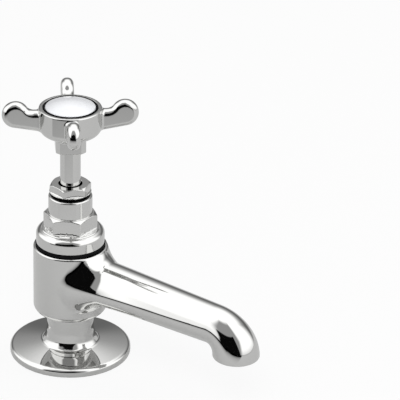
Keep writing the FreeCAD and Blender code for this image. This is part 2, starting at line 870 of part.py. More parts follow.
def arm_edges(shape):
    """The long edges of the four arms, which their side faces end in."""
    half = S["arm_thickness"].value / 2
    found = []
    for number, edge in enumerate(shape.Edges, start=1):
        ends = [item.Point for item in edge.Vertexes]
        if len(ends) < 2:
            continue
        beside = all(abs(min(abs(p.x), abs(p.y)) - half) < LENGTH_TOLERANCE for p in ends)
        upright = V(ends[0].x - ends[1].x, ends[0].y - ends[1].y, 0).Length < LENGTH_TOLERANCE
        middle = edge.CenterOfMass
        outside = math.hypot(middle.x, middle.y) > S["hub_d"].value / 2
        if beside and outside and not upright:
            found.append("Edge%d" % number)
    return found


def skirt_outline(sketch):
    """The square skirt with its corners cut off."""
    half = S["skirt_width"] / 2
    cut = half - S["skirt_corner"]
    outline(sketch, [
        (half, -cut), (half, cut), (cut, half), (-cut, half),
        (-half, cut), (-half, -cut), (-cut, -half), (cut, -half),
    ])


def make_handle():
    """The crosshead: skirt, bowl-shaped hub and four upright arms, bored for the spindle and the disc."""
    body = new_body("handle", handle_level, S["handle_yaw"])
    hub_r = S["hub_d"] / 2
    turned(body, "hub", [
        (0, S["skirt_height"]),
        (S["hub_foot_d"] / 2, S["skirt_height"]),
        (hub_r, S["hub_shoulder"], S["hub_bowl_r"]),
        (hub_r, S["hub_top"]),
        (0, S["hub_top"]),
    ])
    rounded_circle(body, "hub_rim", hub_r, S["hub_top"], S["hub_rim_round"])
    padded(body, "skirt", skirt_outline, S["hub_shoulder"])
    arm = padded(body, "arm", arm_outline, S["arm_thickness"], role="XZ_Plane", midplane=True)
    pattern = body.newObject("PartDesign::PolarPattern", "arms")
    pattern.Originals = [arm]
    upright = next(item for item in body.Origin.OriginFeatures if item.Role == "Z_Axis")
    pattern.Axis = (upright, [""])
    pattern.Angle = FULL_TURN
    pattern.Occurrences = ARM_COUNT
    body.Tip = pattern
    DOC.recompute()
    rounded(body, "arm_rounds", arm_edges(body.Tip.Shape), S["arm_edge_round"])
    over = S["cut_over"]
    recess_floor = S["hub_top"] - S["disc_recess_depth"]
    turned(body, "well", [
        (0, handle_floor),
        (S["handle_well_d"] / 2, handle_floor),
        (S["handle_well_d"] / 2, recess_floor),
        (disc_recess_d / 2, recess_floor),
        (disc_recess_d / 2, S["hub_top"] + over),
        (0, S["hub_top"] + over),
    ], cut=True)
    turned(body, "spindle_bore", [
        (0, -over),
        (S["spindle_d"] / 2 + S["thread_gap"], -over),
        (S["spindle_d"] / 2 + S["thread_gap"], S["handle_seat_depth"]),
        (0, S["handle_seat_depth"]),
    ], cut=True)
    half = S["spindle_square"] / 2 + S["thread_gap"]
    pocketed(
        body,
        "square_hole",
        lambda sketch: outline(sketch, [(half, half), (-half, half), (-half, -half), (half, -half)]),
        handle_floor,
        handle_floor,
    )
    return body


def make_handle_screw():
    """The slotted screw that holds the handle down on the spindle."""
    body = new_body("handle_screw", handle_level + handle_floor, S["handle_yaw"])
    shank_r = S["screw_d"] / 2 - S["thread_gap"]
    turned(body, "screw", [
        (0, -S["screw_length"]),
        (shank_r, -S["screw_length"]),
        (shank_r, 0),
        (S["screw_head_d"] / 2, 0),
        (S["screw_head_d"] / 2, S["screw_head_height"]),
        (0, S["screw_head_height"]),
    ])
    long = S["screw_head_d"] / 2 + S["cut_over"]
    half = S["screw_slot_width"] / 2
    pocketed(
        body,
        "slot",
        lambda sketch: outline(sketch, [(long, half), (-long, half), (-long, -half), (long, -half)]),
        S["screw_slot_depth"],
        S["screw_head_height"],
    )
    return body


def make_index_carrier():
    """The brass plate under the index disc; its boss screws into the handle's well."""
    body = new_body("index_carrier", carrier_level)
    turned(body, "plate", [
        (0, -S["carrier_boss_height"]),
        (S["carrier_boss_d"] / 2, -S["carrier_boss_height"]),
        (S["carrier_boss_d"] / 2, 0),
        (disc_ring_d / 2, 0),
        (disc_ring_d / 2, S["carrier_height"]),
        (0, S["carrier_height"]),
    ])
    return body


def make_index_disc():
    """The domed white disc."""
    body = new_body("index_disc", disc_level)
    disc_r = disc_d / 2
    dome_r = (disc_r * disc_r + S["disc_rise"] * S["disc_rise"]) / (S["disc_rise"] * 2)
    turned(body, "disc", [
        (0, 0),
        (disc_r, 0),
        (disc_r, S["disc_edge"]),
        (0, S["disc_edge"] + S["disc_rise"], dome_r),
    ])
    return body


def make_disc_ring():
    """The black ring round the index disc."""
    return make_tube(
        "disc_ring", disc_ring_d - S["disc_ring_wall"] * 2, disc_ring_d, S["disc_ring_height"], disc_level
    )


def place_at_outlet(body):
    """Moves a piece from the tap's axis to the outlet's."""
    bind(body, "Placement.Base.y", -S["spout_reach"])
    DOC.recompute()
    return body


def make_outlet_ring():
    """The ring above the anti-splash insert."""
    level = outlet_level + S["outlet_bore_depth"] - S["outlet_ring_height"]
    outer = outlet_bore_d - S["running_gap"] * 2
    return place_at_outlet(
        make_tube("outlet_ring", outer - S["outlet_ring_wall"] * 2, outer, S["outlet_ring_height"], level)
    )


def make_outlet_insert():
    """The anti-splash insert: a tube with a hub and crossed vanes."""
    level = outlet_level + S["outlet_bore_depth"] - S["outlet_ring_height"] - S["insert_height"]
    outer = outlet_bore_d - S["running_gap"] * 2
    inner = outer - S["insert_wall"] * 2
    body = make_tube("outlet_insert", inner, outer, S["insert_height"], level)
    padded(body, "insert_hub", lambda sketch: ring(sketch, S["insert_hub_d"]), S["insert_height"])
    long = outer / 2 - S["insert_wall"] / 2
    half = S["insert_vane"] / 2
    vane = padded(
        body,
        "vane",
        lambda sketch: outline(sketch, [(long, half), (-long, half), (-long, -half), (long, -half)]),
        S["insert_height"],
    )
    pattern = body.newObject("PartDesign::PolarPattern", "vanes")
    pattern.Originals = [vane]
    upright = next(item for item in body.Origin.OriginFeatures if item.Role == "Z_Axis")
    pattern.Axis = (upright, [""])
    pattern.Angle = QUARTER_TURN
    pattern.Occurrences = VANE_COUNT
    body.Tip = pattern
    DOC.recompute()
    return place_at_outlet(body)


PIECES = [
    drill_tap_body(make_tap_body()),
    make_base_gasket(),
    make_fixing_washer(),
    make_backnut(),
    make_body_seal(),
    make_bonnet(),
    make_gland_nut(),
    make_gland_follower(),
    make_gland_packing(),
    make_spindle(),
    make_valve_jumper(),
    make_valve_washer(),
    make_washer_nut(),
    make_handle(),
    make_handle_screw(),
    make_index_carrier(),
    make_index_disc(),
    make_disc_ring(),
    make_outlet_ring(),
    make_outlet_insert(),
]


def check_document():
    """Stops on any failed object and on any piece that isn't one closed, valid solid."""
    DOC.recompute()
    for thing in DOC.Objects:
        if "Invalid" in thing.State or "Error" in thing.State:
            raise RuntimeError("%s failed: %s" % (thing.Name, thing.State))
    for piece in PIECES:
        shape = piece.Shape
        if shape.isNull() or not shape.isValid() or len(shape.Solids) != 1:
            raise RuntimeError("%s has no valid single solid" % piece.Label)


check_document()
os.makedirs("parts", exist_ok=True)
for piece in PIECES:
    piece.Shape.exportStep(os.path.join("parts", piece.Label + ".step"))
    box = piece.Shape.BoundBox
    print("%-16s volume %9.1f  z %7.2f to %7.2f" % (piece.Label, piece.Shape.Volume, box.ZMin, box.ZMax))
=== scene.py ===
"""Basin pillar tap: the shapes and finishes of its pieces, with the studio and the camera of the photograph.

Lengths in the piece classes are in millimetres, as a tap maker's drawing has them. They turn into metres
where a mesh is made. The rounded forms are skinned from distance fields, and the turned ones are lathed from
outlines.
"""

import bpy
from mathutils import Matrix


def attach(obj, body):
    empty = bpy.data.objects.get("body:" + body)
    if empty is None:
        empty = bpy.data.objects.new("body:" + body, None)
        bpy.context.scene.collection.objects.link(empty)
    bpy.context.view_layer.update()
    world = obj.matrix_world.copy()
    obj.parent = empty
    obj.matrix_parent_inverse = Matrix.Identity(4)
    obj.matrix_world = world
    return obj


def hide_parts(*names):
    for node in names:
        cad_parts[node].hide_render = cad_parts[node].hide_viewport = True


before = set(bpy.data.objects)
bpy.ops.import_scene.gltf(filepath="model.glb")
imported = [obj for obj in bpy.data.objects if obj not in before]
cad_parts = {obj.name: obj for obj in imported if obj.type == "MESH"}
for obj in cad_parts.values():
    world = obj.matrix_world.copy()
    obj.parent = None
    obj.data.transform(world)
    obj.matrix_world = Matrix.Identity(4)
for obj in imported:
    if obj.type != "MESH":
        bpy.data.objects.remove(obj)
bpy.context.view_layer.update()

import logging
import math
from dataclasses import dataclass, field, replace
from enum import Enum
from typing import Callable, Optional, Sequence

import bmesh
import bpy
import numpy as np
from mathutils import Matrix, Vector

LOG = logging.getLogger("pillar_tap")
MILLIMETRE = 0.001
TOUCHING = 1e-6
SAME_PLACE = 1e-4
FAR = 1e6
LEAST_SQUARED_SLOPE = 0.05
WIDEST_TURN = math.radians(18)
SMALL_ARC = 0.2

Form = Callable[[np.ndarray], np.ndarray]
Socket = bpy.types.NodeSocket
Value = Socket | float
Colour = tuple[float, float, float]


class Body(Enum):
    """The bodies that the shown pieces ride on."""

    FIXED = "fixed_tap"
    TURNING = "handle_set"


class Slot(Enum):
    """The material slots of the record."""

    CHROME = "chrome"
    BRASS = "brass"
    STEEL = "steel"
    RUBBER = "rubber"
    PORCELAIN = "porcelain"
    NYLON = "white_nylon"
    PLASTIC = "grey_plastic"


# Outlines and distance fields


def round_min(first: np.ndarray, second: np.ndarray, radius: float | np.ndarray) -> np.ndarray:
    """Joins two distance fields with a fillet in the corner between them.

    Args:
        first: Distances to one form, negative inside it.
        second: Distances to the other form.
        radius: Radius of the fillet.

    Returns:
        Distances to the two forms joined.
    """
    reach = np.hypot(np.maximum(radius - first, 0), np.maximum(radius - second, 0))
    return np.maximum(radius, np.minimum(first, second)) - reach


def round_max(first: np.ndarray, second: np.ndarray, radius: float) -> np.ndarray:
    """Keeps what is inside both forms, with the new edge rounded off.

    Args:
        first: Distances to one form, negative inside it.
        second: Distances to the other form.
        radius: Radius of the rounded edge.

    Returns:
        Distances to the space that the forms share.
    """
    reach = np.hypot(np.maximum(radius + first, 0), np.maximum(radius + second, 0))
    return np.minimum(-radius, np.maximum(first, second)) + reach


def hexagon_distance(points: np.ndarray, flats: float, edge: float) -> np.ndarray:
    """Distance to an upright hexagonal bar round the z axis.

    Args:
        points: Points, one in each row.
        flats: Width across the flats.
        edge: Radius of the rounded corners.

    Returns:
        Distances, negative inside the bar.
    """
    faces = [
        points[:, 0] * math.cos(angle) + points[:, 1] * math.sin(angle) - flats / 2
        for angle in (math.radians(30 + 60 * face) for face in range(6))
    ]
    ranked = np.sort(np.stack(faces), axis=0)
    return round_max(ranked[-1], ranked[-2], edge)


@dataclass(frozen=True)
class Corner:
    """A corner of an outline: its place across and up, and the radius it is rounded to."""

    across: float
    up: float
    radius: float = 0.03


@dataclass(frozen=True)
class Run:
    """A straight stretch of an outline."""

    start: np.ndarray
    end: np.ndarray

    def distance(self, flat: np.ndarray) -> np.ndarray:
        """Signed distance of each point to the stretch, negative on its left."""
        along = self.end - self.start
        from_start = flat - self.start
        share = np.clip(from_start @ along / (along @ along), 0, 1)
        gap = from_start - share[:, None] * along
        side = along[0] * from_start[:, 1] - along[1] * from_start[:, 0]
        return np.where(side > 0, -1.0, 1.0) * np.hypot(gap[:, 0], gap[:, 1])

    def walk(self, step: float) -> list[np.ndarray]:
        """Points along the stretch, without its last."""
        count = max(1, math.ceil(float(np.linalg.norm(self.end - self.start)) / step))
        return [self.start + (self.end - self.start) * number / count for number in range(count)]


@dataclass(frozen=True)
class Bend:
    """A rounded corner of an outline, tangent to the stretches on both sides."""

    centre: np.ndarray
    start: np.ndarray
    end: np.ndarray
    turn: float

    def distance(self, flat: np.ndarray) -> np.ndarray:
        """Signed distance of each point to the bend, and a large number outside its sector."""
        outward = flat - self.centre
        first, last = self.start - self.centre, self.end - self.centre
        way = math.copysign(1, self.turn)
        inside = (first[0] * outward[:, 1] - first[1] * outward[:, 0]) * way >= 0
        inside &= (outward[:, 0] * last[1] - outward[:, 1] * last[0]) * way >= 0
        gap = way * (np.hypot(outward[:, 0], outward[:, 1]) - float(np.linalg.norm(first)))
        return np.where(inside, gap, np.inf)

    def walk(self, step: float) -> list[np.ndarray]:
        """Points round the bend, without its last."""
        spoke = self.start - self.centre
        arc = abs(self.turn) * float(np.linalg.norm(spoke))
        count = max(2, math.ceil(arc / step))
        if arc > SMALL_ARC:
            count = max(count, math.ceil(abs(self.turn) / WIDEST_TURN))
        points = []
        for number in range(count):
            angle = self.turn * number / count
            cosine, sine = math.cos(angle), math.sin(angle)
            points.append(self.centre + np.array([
                spoke[0] * cosine - spoke[1] * sine,
                spoke[0] * sine + spoke[1] * cosine,
            ]))
        return points


class Outline:
    """A closed outline with rounded corners, drawn anticlockwise, across and up.

    The outline of a solid form runs past the axis, so that the axis itself leaves no mark on it.
    """

    def __init__(self, corners: Sequence[Corner]) -> None:
        """Rounds the corners.

        Args:
            corners: The corners in order, anticlockwise.
        """
        self.parts: list[Run | Bend] = []
        places = [np.array([corner.across, corner.up]) for corner in corners]
        bends = []
        for number, corner in enumerate(corners):
            before = places[number] - places[number - 1]
            after = places[(number + 1) % len(corners)] - places[number]
            before = before / np.linalg.norm(before)
            after = after / np.linalg.norm(after)
            turn = math.atan2(before[0] * after[1] - before[1] * after[0], float(before @ after))
            cut = corner.radius * math.tan(abs(turn) / 2)
            start = places[number] - before * cut
            inward = np.array([-before[1], before[0]]) * math.copysign(corner.radius, turn)
            bends.append(Bend(start + inward, start, places[number] + after * cut, turn))
        for number, bend in enumerate(bends):
            self.parts.append(bend)
            following = bends[(number + 1) % len(bends)]
            if np.linalg.norm(following.start - bend.end) > TOUCHING:
                self.parts.append(Run(bend.end, following.start))

    def distance(self, across: np.ndarray, up: np.ndarray) -> np.ndarray:
        """Signed distance to the outline.

        Args:
            across: Each point's distance from the axis, or along a side view.
            up: Each point's height.

        Returns:
            Distances, negative inside the outline.
        """
        flat = np.stack([across, up], axis=1)
        best = np.full(len(flat), FAR)
        for part in self.parts:
            gap = part.distance(flat)
            best = np.where(np.abs(gap) < np.abs(best), gap, best)
        return best

    def turned(self, points: np.ndarray) -> np.ndarray:
        """Signed distance to the form that the outline makes when it turns about the z axis."""
        return self.distance(np.hypot(points[:, 0], points[:, 1]), points[:, 2])

    def walk(self, step: float) -> np.ndarray:
        """Points along the outline, at most a step apart, as rows of across and up."""
        return np.array([point for part in self.parts for point in part.walk(step)])


# Meshes


@dataclass
class Shell:
    """A mesh in the making: its points in millimetres and its faces."""

    points: np.ndarray
    faces: np.ndarray
    form: Form

    def settle(self, reach: float, rounds: int = 4) -> "Shell":
        """Moves the points onto the surface of the form.

        Args:
            reach: The most that a point moves in one round.
            rounds: How often the points move.

        Returns:
            The shell itself.
        """
        for _ in range(rounds):
            value = self.form(self.points)
            slope = self.slope()
            size = np.maximum((slope ** 2).sum(axis=1), LEAST_SQUARED_SLOPE)
            move = -(value / size)[:, None] * slope
            length = np.maximum(np.linalg.norm(move, axis=1), TOUCHING)
            self.points = self.points + move * np.minimum(1, reach / length)[:, None]
        return self

    def slope(self, apart: float = 0.01) -> np.ndarray:
        """The form's gradient at each point.

        Args:
            apart: How far to each side the form is read.

        Returns:
            The gradients, one in each row.
        """
        slopes = np.empty_like(self.points)
        for axis in range(3):
            shift = np.zeros(3)
            shift[axis] = apart
            change = self.form(self.points + shift) - self.form(self.points - shift)
            slopes[:, axis] = change / (2 * apart)
        return slopes


def sampled(form: Form, low: Sequence[float], counts: Sequence[int], step: float) -> np.ndarray:
    """Reads a form on a regular grid, a layer at a time.

    Args:
        form: The distance field.
        low: The grid's lowest corner.
        counts: Grid points along x, y and z.
        step: Distance between grid points.

    Returns:
        The distances, as a three-dimensional array.
    """
    across, deep = np.meshgrid(
        low[0] + step * np.arange(counts[0]), low[1] + step * np.arange(counts[1]), indexing="ij"
    )
    values = np.empty(counts)
    for layer in range(counts[2]):
        level = np.full(across.size, low[2] + step * layer)
        points = np.stack([across.ravel(), deep.ravel(), level], axis=1)
        values[:, :, layer] = form(points).reshape(counts[0], counts[1])
    return values


def skin(form: Form, low: Sequence[float], high: Sequence[float], step: float) -> Shell:
    """Covers a form with a mesh of even quadrangles.

    Args:
        form: The distance field.
        low: A corner below the whole form.
        high: A corner above the whole form.
        step: Width of the quadrangles.

    Returns:
        The shell, settled on the form's surface.
    """
    step = step * 1
    counts = [math.ceil((top - bottom) / step) + 1 for bottom, top in zip(low, high)]
    values = sampled(form, low, counts, step)
    cells = [count - 1 for count in counts]
    total = int(np.prod(cells))
    sums = np.zeros((3, total))
    hits = np.zeros(total)
    quads = []
    for axis in range(3):
        lower = np.moveaxis(values, axis, 0)[:-1]
        upper = np.moveaxis(values, axis, 0)[1:]
        found = np.nonzero((lower < 0) != (upper < 0))
        share = lower[found] / (lower[found] - upper[found])
        others = [other for other in range(3) if other != axis]
        place = np.empty((len(share), 3))
        place[:, axis] = found[0]
        place[:, others[0]] = found[1]
        place[:, others[1]] = found[2]
        index = place.astype(int)
        place[:, axis] += share
        corners = []
        for shift in ((0, 0), (-1, 0), (-1, -1), (0, -1)):
            cell = index.copy()
            cell[:, (axis + 1) % 3] += shift[0]
            cell[:, (axis + 2) % 3] += shift[1]
            flat = np.ravel_multi_index(cell.T, cells)
            for part in range(3):
                sums[part] += np.bincount(flat, place[:, part], total)
            hits += np.bincount(flat, minlength=total)
            corners.append(flat)
        quad = np.stack(corners, axis=1)
        backward = lower[found] >= 0
        quad[backward] = quad[backward][:, ::-1]
        quads.append(quad)
    used = np.nonzero(hits)[0]
    number = np.full(total, -1)
    number[used] = np.arange(len(used))
    points = (sums[:, used] / hits[used]).T * step + np.array(low)
    return Shell(points, number[np.concatenate(quads)], form).settle(step / 2)


def lathe(
    outline: Outline, step: float, segments: int, form: Optional[Form] = None, flats: float = 0
) -> Shell:
    """Turns an outline about the z axis.

    Args:
        outline: The outline, which may cross the axis.
        step: Longest stretch between rows of points.
        segments: Points in a row.
        form: The form that the points settle on, where it isn't the plain turned one.
        flats: Width across the flats of a hexagon that the rows stay inside, or nothing.

    Returns:
        The shell, settled on the form's surface.
    """
    step = step * 1
    rows = outline.walk(step)
    closed = bool((rows[:, 0] > 0).all())
    if not closed:
        start = int(np.nonzero((rows[:, 0] > 0) & (np.roll(rows[:, 0], 1) <= 0))[0][0])
        rows = np.roll(rows, -start, axis=0)
        rows = rows[rows[:, 0] > 0]
        rows = np.vstack([[0, rows[0, 1]], rows, [0, rows[-1, 1]]])
    angles = np.linspace(0, 2 * math.pi, segments, endpoint=False)
    radii = np.repeat(rows[:, :1], segments, axis=1)
    if flats:
        hexagon = flats / 2 / np.cos((angles + math.pi) % (math.pi / 3) - math.pi / 6)
        radii = np.minimum(radii, hexagon[None, :])
    points = np.stack([
        radii * np.cos(angles), radii * np.sin(angles), np.repeat(rows[:, 1:], segments, axis=1)
    ], axis=2).reshape(-1, 3)
    bands = len(rows) if closed else len(rows) - 1
    row, column = np.meshgrid(np.arange(bands), np.arange(segments), indexing="ij")
    beside, above = (column + 1) % segments, (row + 1) % len(rows)
    this_row, next_row = row * segments, above * segments
    corners = [this_row + column, this_row + beside, next_row + beside, next_row + column]
    faces = np.stack(corners, axis=2).reshape(-1, 4)
    return Shell(points, faces, form or outline.turned).settle(step / 2)


def ring_outline(inner: float, outer: float, low: float, high: float, edge: float = 0.15) -> Outline:
    """The outline of a plain ring with its edges rounded."""
    places = ((inner, low), (outer, low), (outer, high), (inner, high))
    return Outline([Corner(across, up, edge) for across, up in places])


@dataclass(frozen=True)
class Seat:
    """Where a piece sits on the tap's axis: its level, its turn in degrees and how far forward it is."""

    level: float = 0.0
    yaw: float = 0.0
    forward: float = 0.0

    def matrix(self) -> Matrix:
        """The move from the piece's own frame to the tap's."""
        place = Matrix.Translation((0, -self.forward, self.level))
        return place @ Matrix.Rotation(math.radians(self.yaw), 4, "Z")


def make_piece(
    name: str, shell: Shell, seat: Seat, finish: "Finish", body: Body, nodes: Sequence[str]
) -> bpy.types.Object:
    """Turns a shell into a finished piece on its body.

    Args:
        name: The piece's name.
        shell: Its mesh in its own frame, in millimetres.
        seat: Where it sits.
        finish: Its finish.
        body: The body that it rides on.
        nodes: The CAD nodes that it stands for.

    Returns:
        The Blender object.
    """
    mesh = bpy.data.meshes.new(name)
    sketch = bmesh.new()
    corners = [sketch.verts.new(point) for point in shell.points]
    for face in shell.faces:
        sketch.faces.new([corners[number] for number in face])
    bmesh.ops.remove_doubles(sketch, verts=sketch.verts, dist=SAME_PLACE)
    bmesh.ops.dissolve_degenerate(sketch, edges=sketch.edges, dist=SAME_PLACE)
    sketch.to_mesh(mesh)
    sketch.free()
    settled = np.empty(len(mesh.vertices) * 3)
    mesh.vertices.foreach_get("co", settled)
    slope = Shell(settled.reshape(-1, 3), shell.faces, shell.form).slope()
    place = seat.matrix()
    turn = np.array(place.to_3x3())
    normals = slope / np.maximum(np.linalg.norm(slope, axis=1), TOUCHING)[:, None] @ turn.T
    moved = (settled.reshape(-1, 3) @ turn.T + np.array(place.translation)) * MILLIMETRE
    mesh.vertices.foreach_set("co", moved.ravel())
    mesh.update()
    mesh.shade_smooth()
    mesh.normals_split_custom_set_from_vertices(normals.tolist())
    piece = bpy.data.objects.new(name, mesh)
    bpy.context.scene.collection.objects.link(piece)
    mesh.materials.append(finish.material())
    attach(piece, body.value)
    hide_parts(*nodes)
    LOG.info("%s: %d faces on %s", name, len(mesh.polygons), body.value)
    return piece


# Finishes


@dataclass(frozen=True)
class Grain:
    """Noise over a piece, in waves of about one scale-th of a metre, drawn out by the stretch."""

    scale: float
    detail: float = 3.0
    stretch: tuple[float, float, float] = (1, 1, 1)


class NodeTree:
    """A node tree in the making."""

    def __init__(self, owner: bpy.types.ID) -> None:
        """Empties the tree.

        Args:
            owner: The material or the world that the tree belongs to.
        """
        owner.use_nodes = True
        self.tree = owner.node_tree
        self.tree.nodes.clear()

    def node(self, kind: str, settings: Optional[dict] = None, **inputs: object) -> bpy.types.Node:
        """Adds a node.

        Args:
            kind: Blender's name of the node type, without its prefix.
            settings: Properties of the node itself.
            inputs: A value or an output socket for each input, by its name with underscores for spaces, or by
                an underscore and its number.

        Returns:
            The node.
        """
        node = self.tree.nodes.new("ShaderNode" + kind)
        for name, value in (settings or {}).items():
            setattr(node, name, value)
        for name, value in inputs.items():
            key = int(name[1:]) if name[1:].isdigit() else name.replace("_", " ")
            if isinstance(value, Socket):
                self.tree.links.new(value, node.inputs[key])
            else:
                node.inputs[key].default_value = value
        return node

    def sum(self, operation: str, *values: Value) -> Socket:
        """The result of a sum of one, two or three values."""
        inputs = {"_%d" % number: value for number, value in enumerate(values)}
        return self.node("Math", {"operation": operation}, **inputs).outputs[0]

    def range(
        self, value: Socket, low: Value, high: Value, start: float = 0.3, end: float = 0.7,
        way: str = "LINEAR",
    ) -> Socket:
        """Spreads a value between start and end over low to high."""
        settings = {"interpolation_type": way}
        levels = {"From_Min": start, "From_Max": end, "To_Min": low, "To_Max": high}
        return self.node("MapRange", settings, Value=value, **levels).outputs["Result"]


class Shader(NodeTree):
    """The node tree of one material."""

    def __init__(self, name: str) -> None:
        """Starts an empty material with its output.

        Args:
            name: The material's name.
        """
        self.material = bpy.data.materials.new(name)
        super().__init__(self.material)
        self.output = self.tree.nodes.new("ShaderNodeOutputMaterial")

    def noise(self, grain: Grain) -> Socket:
        """Noise over the piece."""
        place = self.node("TexCoord").outputs["Object"]
        mapped = self.node("Mapping", Vector=place, Scale=grain.stretch).outputs["Vector"]
        return self.node("TexNoise", Vector=mapped, Scale=grain.scale, Detail=grain.detail).outputs["Fac"]

    def tint(self, share: Socket, first: Colour, second: Colour) -> Socket:
        """A colour between two, by a share."""
        mix = self.node("Mix", {"data_type": "RGBA"}, Factor=share)
        mix.inputs[6].default_value = (*first, 1)
        mix.inputs[7].default_value = (*second, 1)
        return mix.outputs[2]

    def surface(self, **inputs: object) -> bpy.types.Material:
        """Ends the tree with the main shader and gives the material."""
        main = self.node("BsdfPrincipled", **inputs)
        self.tree.links.new(main.outputs["BSDF"], self.output.inputs["Surface"])
        return self.material


@dataclass(frozen=True)
class Finish:
    """A finish in one of the record's slots; its material is made once.

    The mottle blends the two colours, with more contrast where it is spread. The grain makes the roughness
    uneven between its two limits, and the relief raises small hills of a depth in metres.
    """

    name: str
    slot: Slot
    colours: tuple[Colour, Colour]
    rough: tuple[float, float]
    mottle: Grain
    grain: Grain
    relief: Grain
    depth: float
    strength: float
    spread: bool = True
    extras: tuple[tuple[str, float], ...] = ()

    def material(self) -> bpy.types.Material:
        """The finish's material."""
        return bpy.data.materials.get(self.name) or self.paint(Shader(self.name))

    def paint(self, shader: Shader) -> bpy.types.Material:
        """Draws the material's nodes.

        Args:
            shader: The empty material.

        Returns:
            The finished material.
        """
        share = shader.noise(self.mottle)
        if self.spread:
            share = shader.range(share, 0, 1)
        hills = shader.noise(self.relief)
        bump = shader.node("Bump", Height=hills, Distance=self.depth, Strength=self.strength)
        return shader.surface(
            Base_Color=shader.tint(share, *self.colours),
            Roughness=shader.range(shader.noise(self.grain), *self.rough),
            Normal=bump.outputs["Normal"],
            **dict(self.extras),
        )


METAL = (("Metallic", 1.0),)
HAZE = Grain(900, 4, (1, 1, 3))
RINGS = Grain(220, 3, (1, 1, 18))
STREAKS = Grain(500, 3, (1, 8, 1))
GLAZE = Grain(160, 2)

# Bright plate: a mirror with the faint waves of a buffed casting, and a haze where a cloth has wiped
CHROME = Finish(
    "brightchrome_finish", Slot.CHROME, ((0.665, 0.665, 0.655), (0.625, 0.625, 0.615)), (0.02, 0.05),
    HAZE, HAZE, Grain(260, 2), 0.00001, 0.35, spread=False, extras=METAL,
)
# The same plate painted near black: painted shade in the narrow groove under the gland nut
PAINTED_SHADE_CHROME = replace(
    CHROME, name="paintedshadechrome_finish", colours=((0.012, 0.012, 0.012), (0.03, 0.03, 0.03))
)
# Turned brass without plate: the tool's rings and a little tarnish
BRASS = Finish(
    "turnedbrass_finish", Slot.BRASS, ((0.8, 0.6, 0.29), (0.58, 0.4, 0.17)), (0.24, 0.42),
    Grain(180, 4), RINGS, RINGS, 0.00004, 0.6, extras=METAL,
)
# Stainless steel with drawn streaks
STEEL = Finish(
    "plainsteel_finish", Slot.STEEL, ((0.66, 0.66, 0.67), (0.5, 0.5, 0.51)), (0.26, 0.4),
    STREAKS, STREAKS, STREAKS, 0.00002, 0.5, spread=False, extras=METAL,
)
# Black moulded rubber, matt with a fine grain and a little bloom
RUBBER = Finish(
    "blackrubber_finish", Slot.RUBBER, ((0.003, 0.003, 0.0035), (0.009, 0.009, 0.0095)), (0.5, 0.7),
    Grain(250), Grain(3000), Grain(3000), 0.00003, 0.5, extras=(("Specular_IOR_Level", 0.03),),
)
# Glazed white porcelain, faintly uneven
PORCELAIN = Finish(
    "whiteporcelain_finish", Slot.PORCELAIN, ((0.86, 0.87, 0.89), (0.81, 0.82, 0.85)), (0.05, 0.11),
    GLAZE, Grain(2600, 2), GLAZE, 0.00002, 0.25, extras=(("Coat_Weight", 0.6), ("Coat_Roughness", 0.03)),
)
# Moulded white nylon, satin, with the flow marks of the mould
NYLON = Finish(
    "whitenylon_finish", Slot.NYLON, ((0.84, 0.84, 0.81), (0.76, 0.76, 0.73)), (0.35, 0.5),
    Grain(200, 3, (1, 1, 4)), Grain(1800), Grain(1800), 0.00003, 0.4,
)
# Moulded grey plastic, half glossy with rubbed patches
PLASTIC = Finish(
    "greyplastic_finish", Slot.PLASTIC, ((0.19, 0.19, 0.2), (0.25, 0.25, 0.26)), (0.25, 0.42),
    Grain(140, 4), Grain(1500), Grain(1500), 0.00003, 0.4,
)


# The tap's pieces


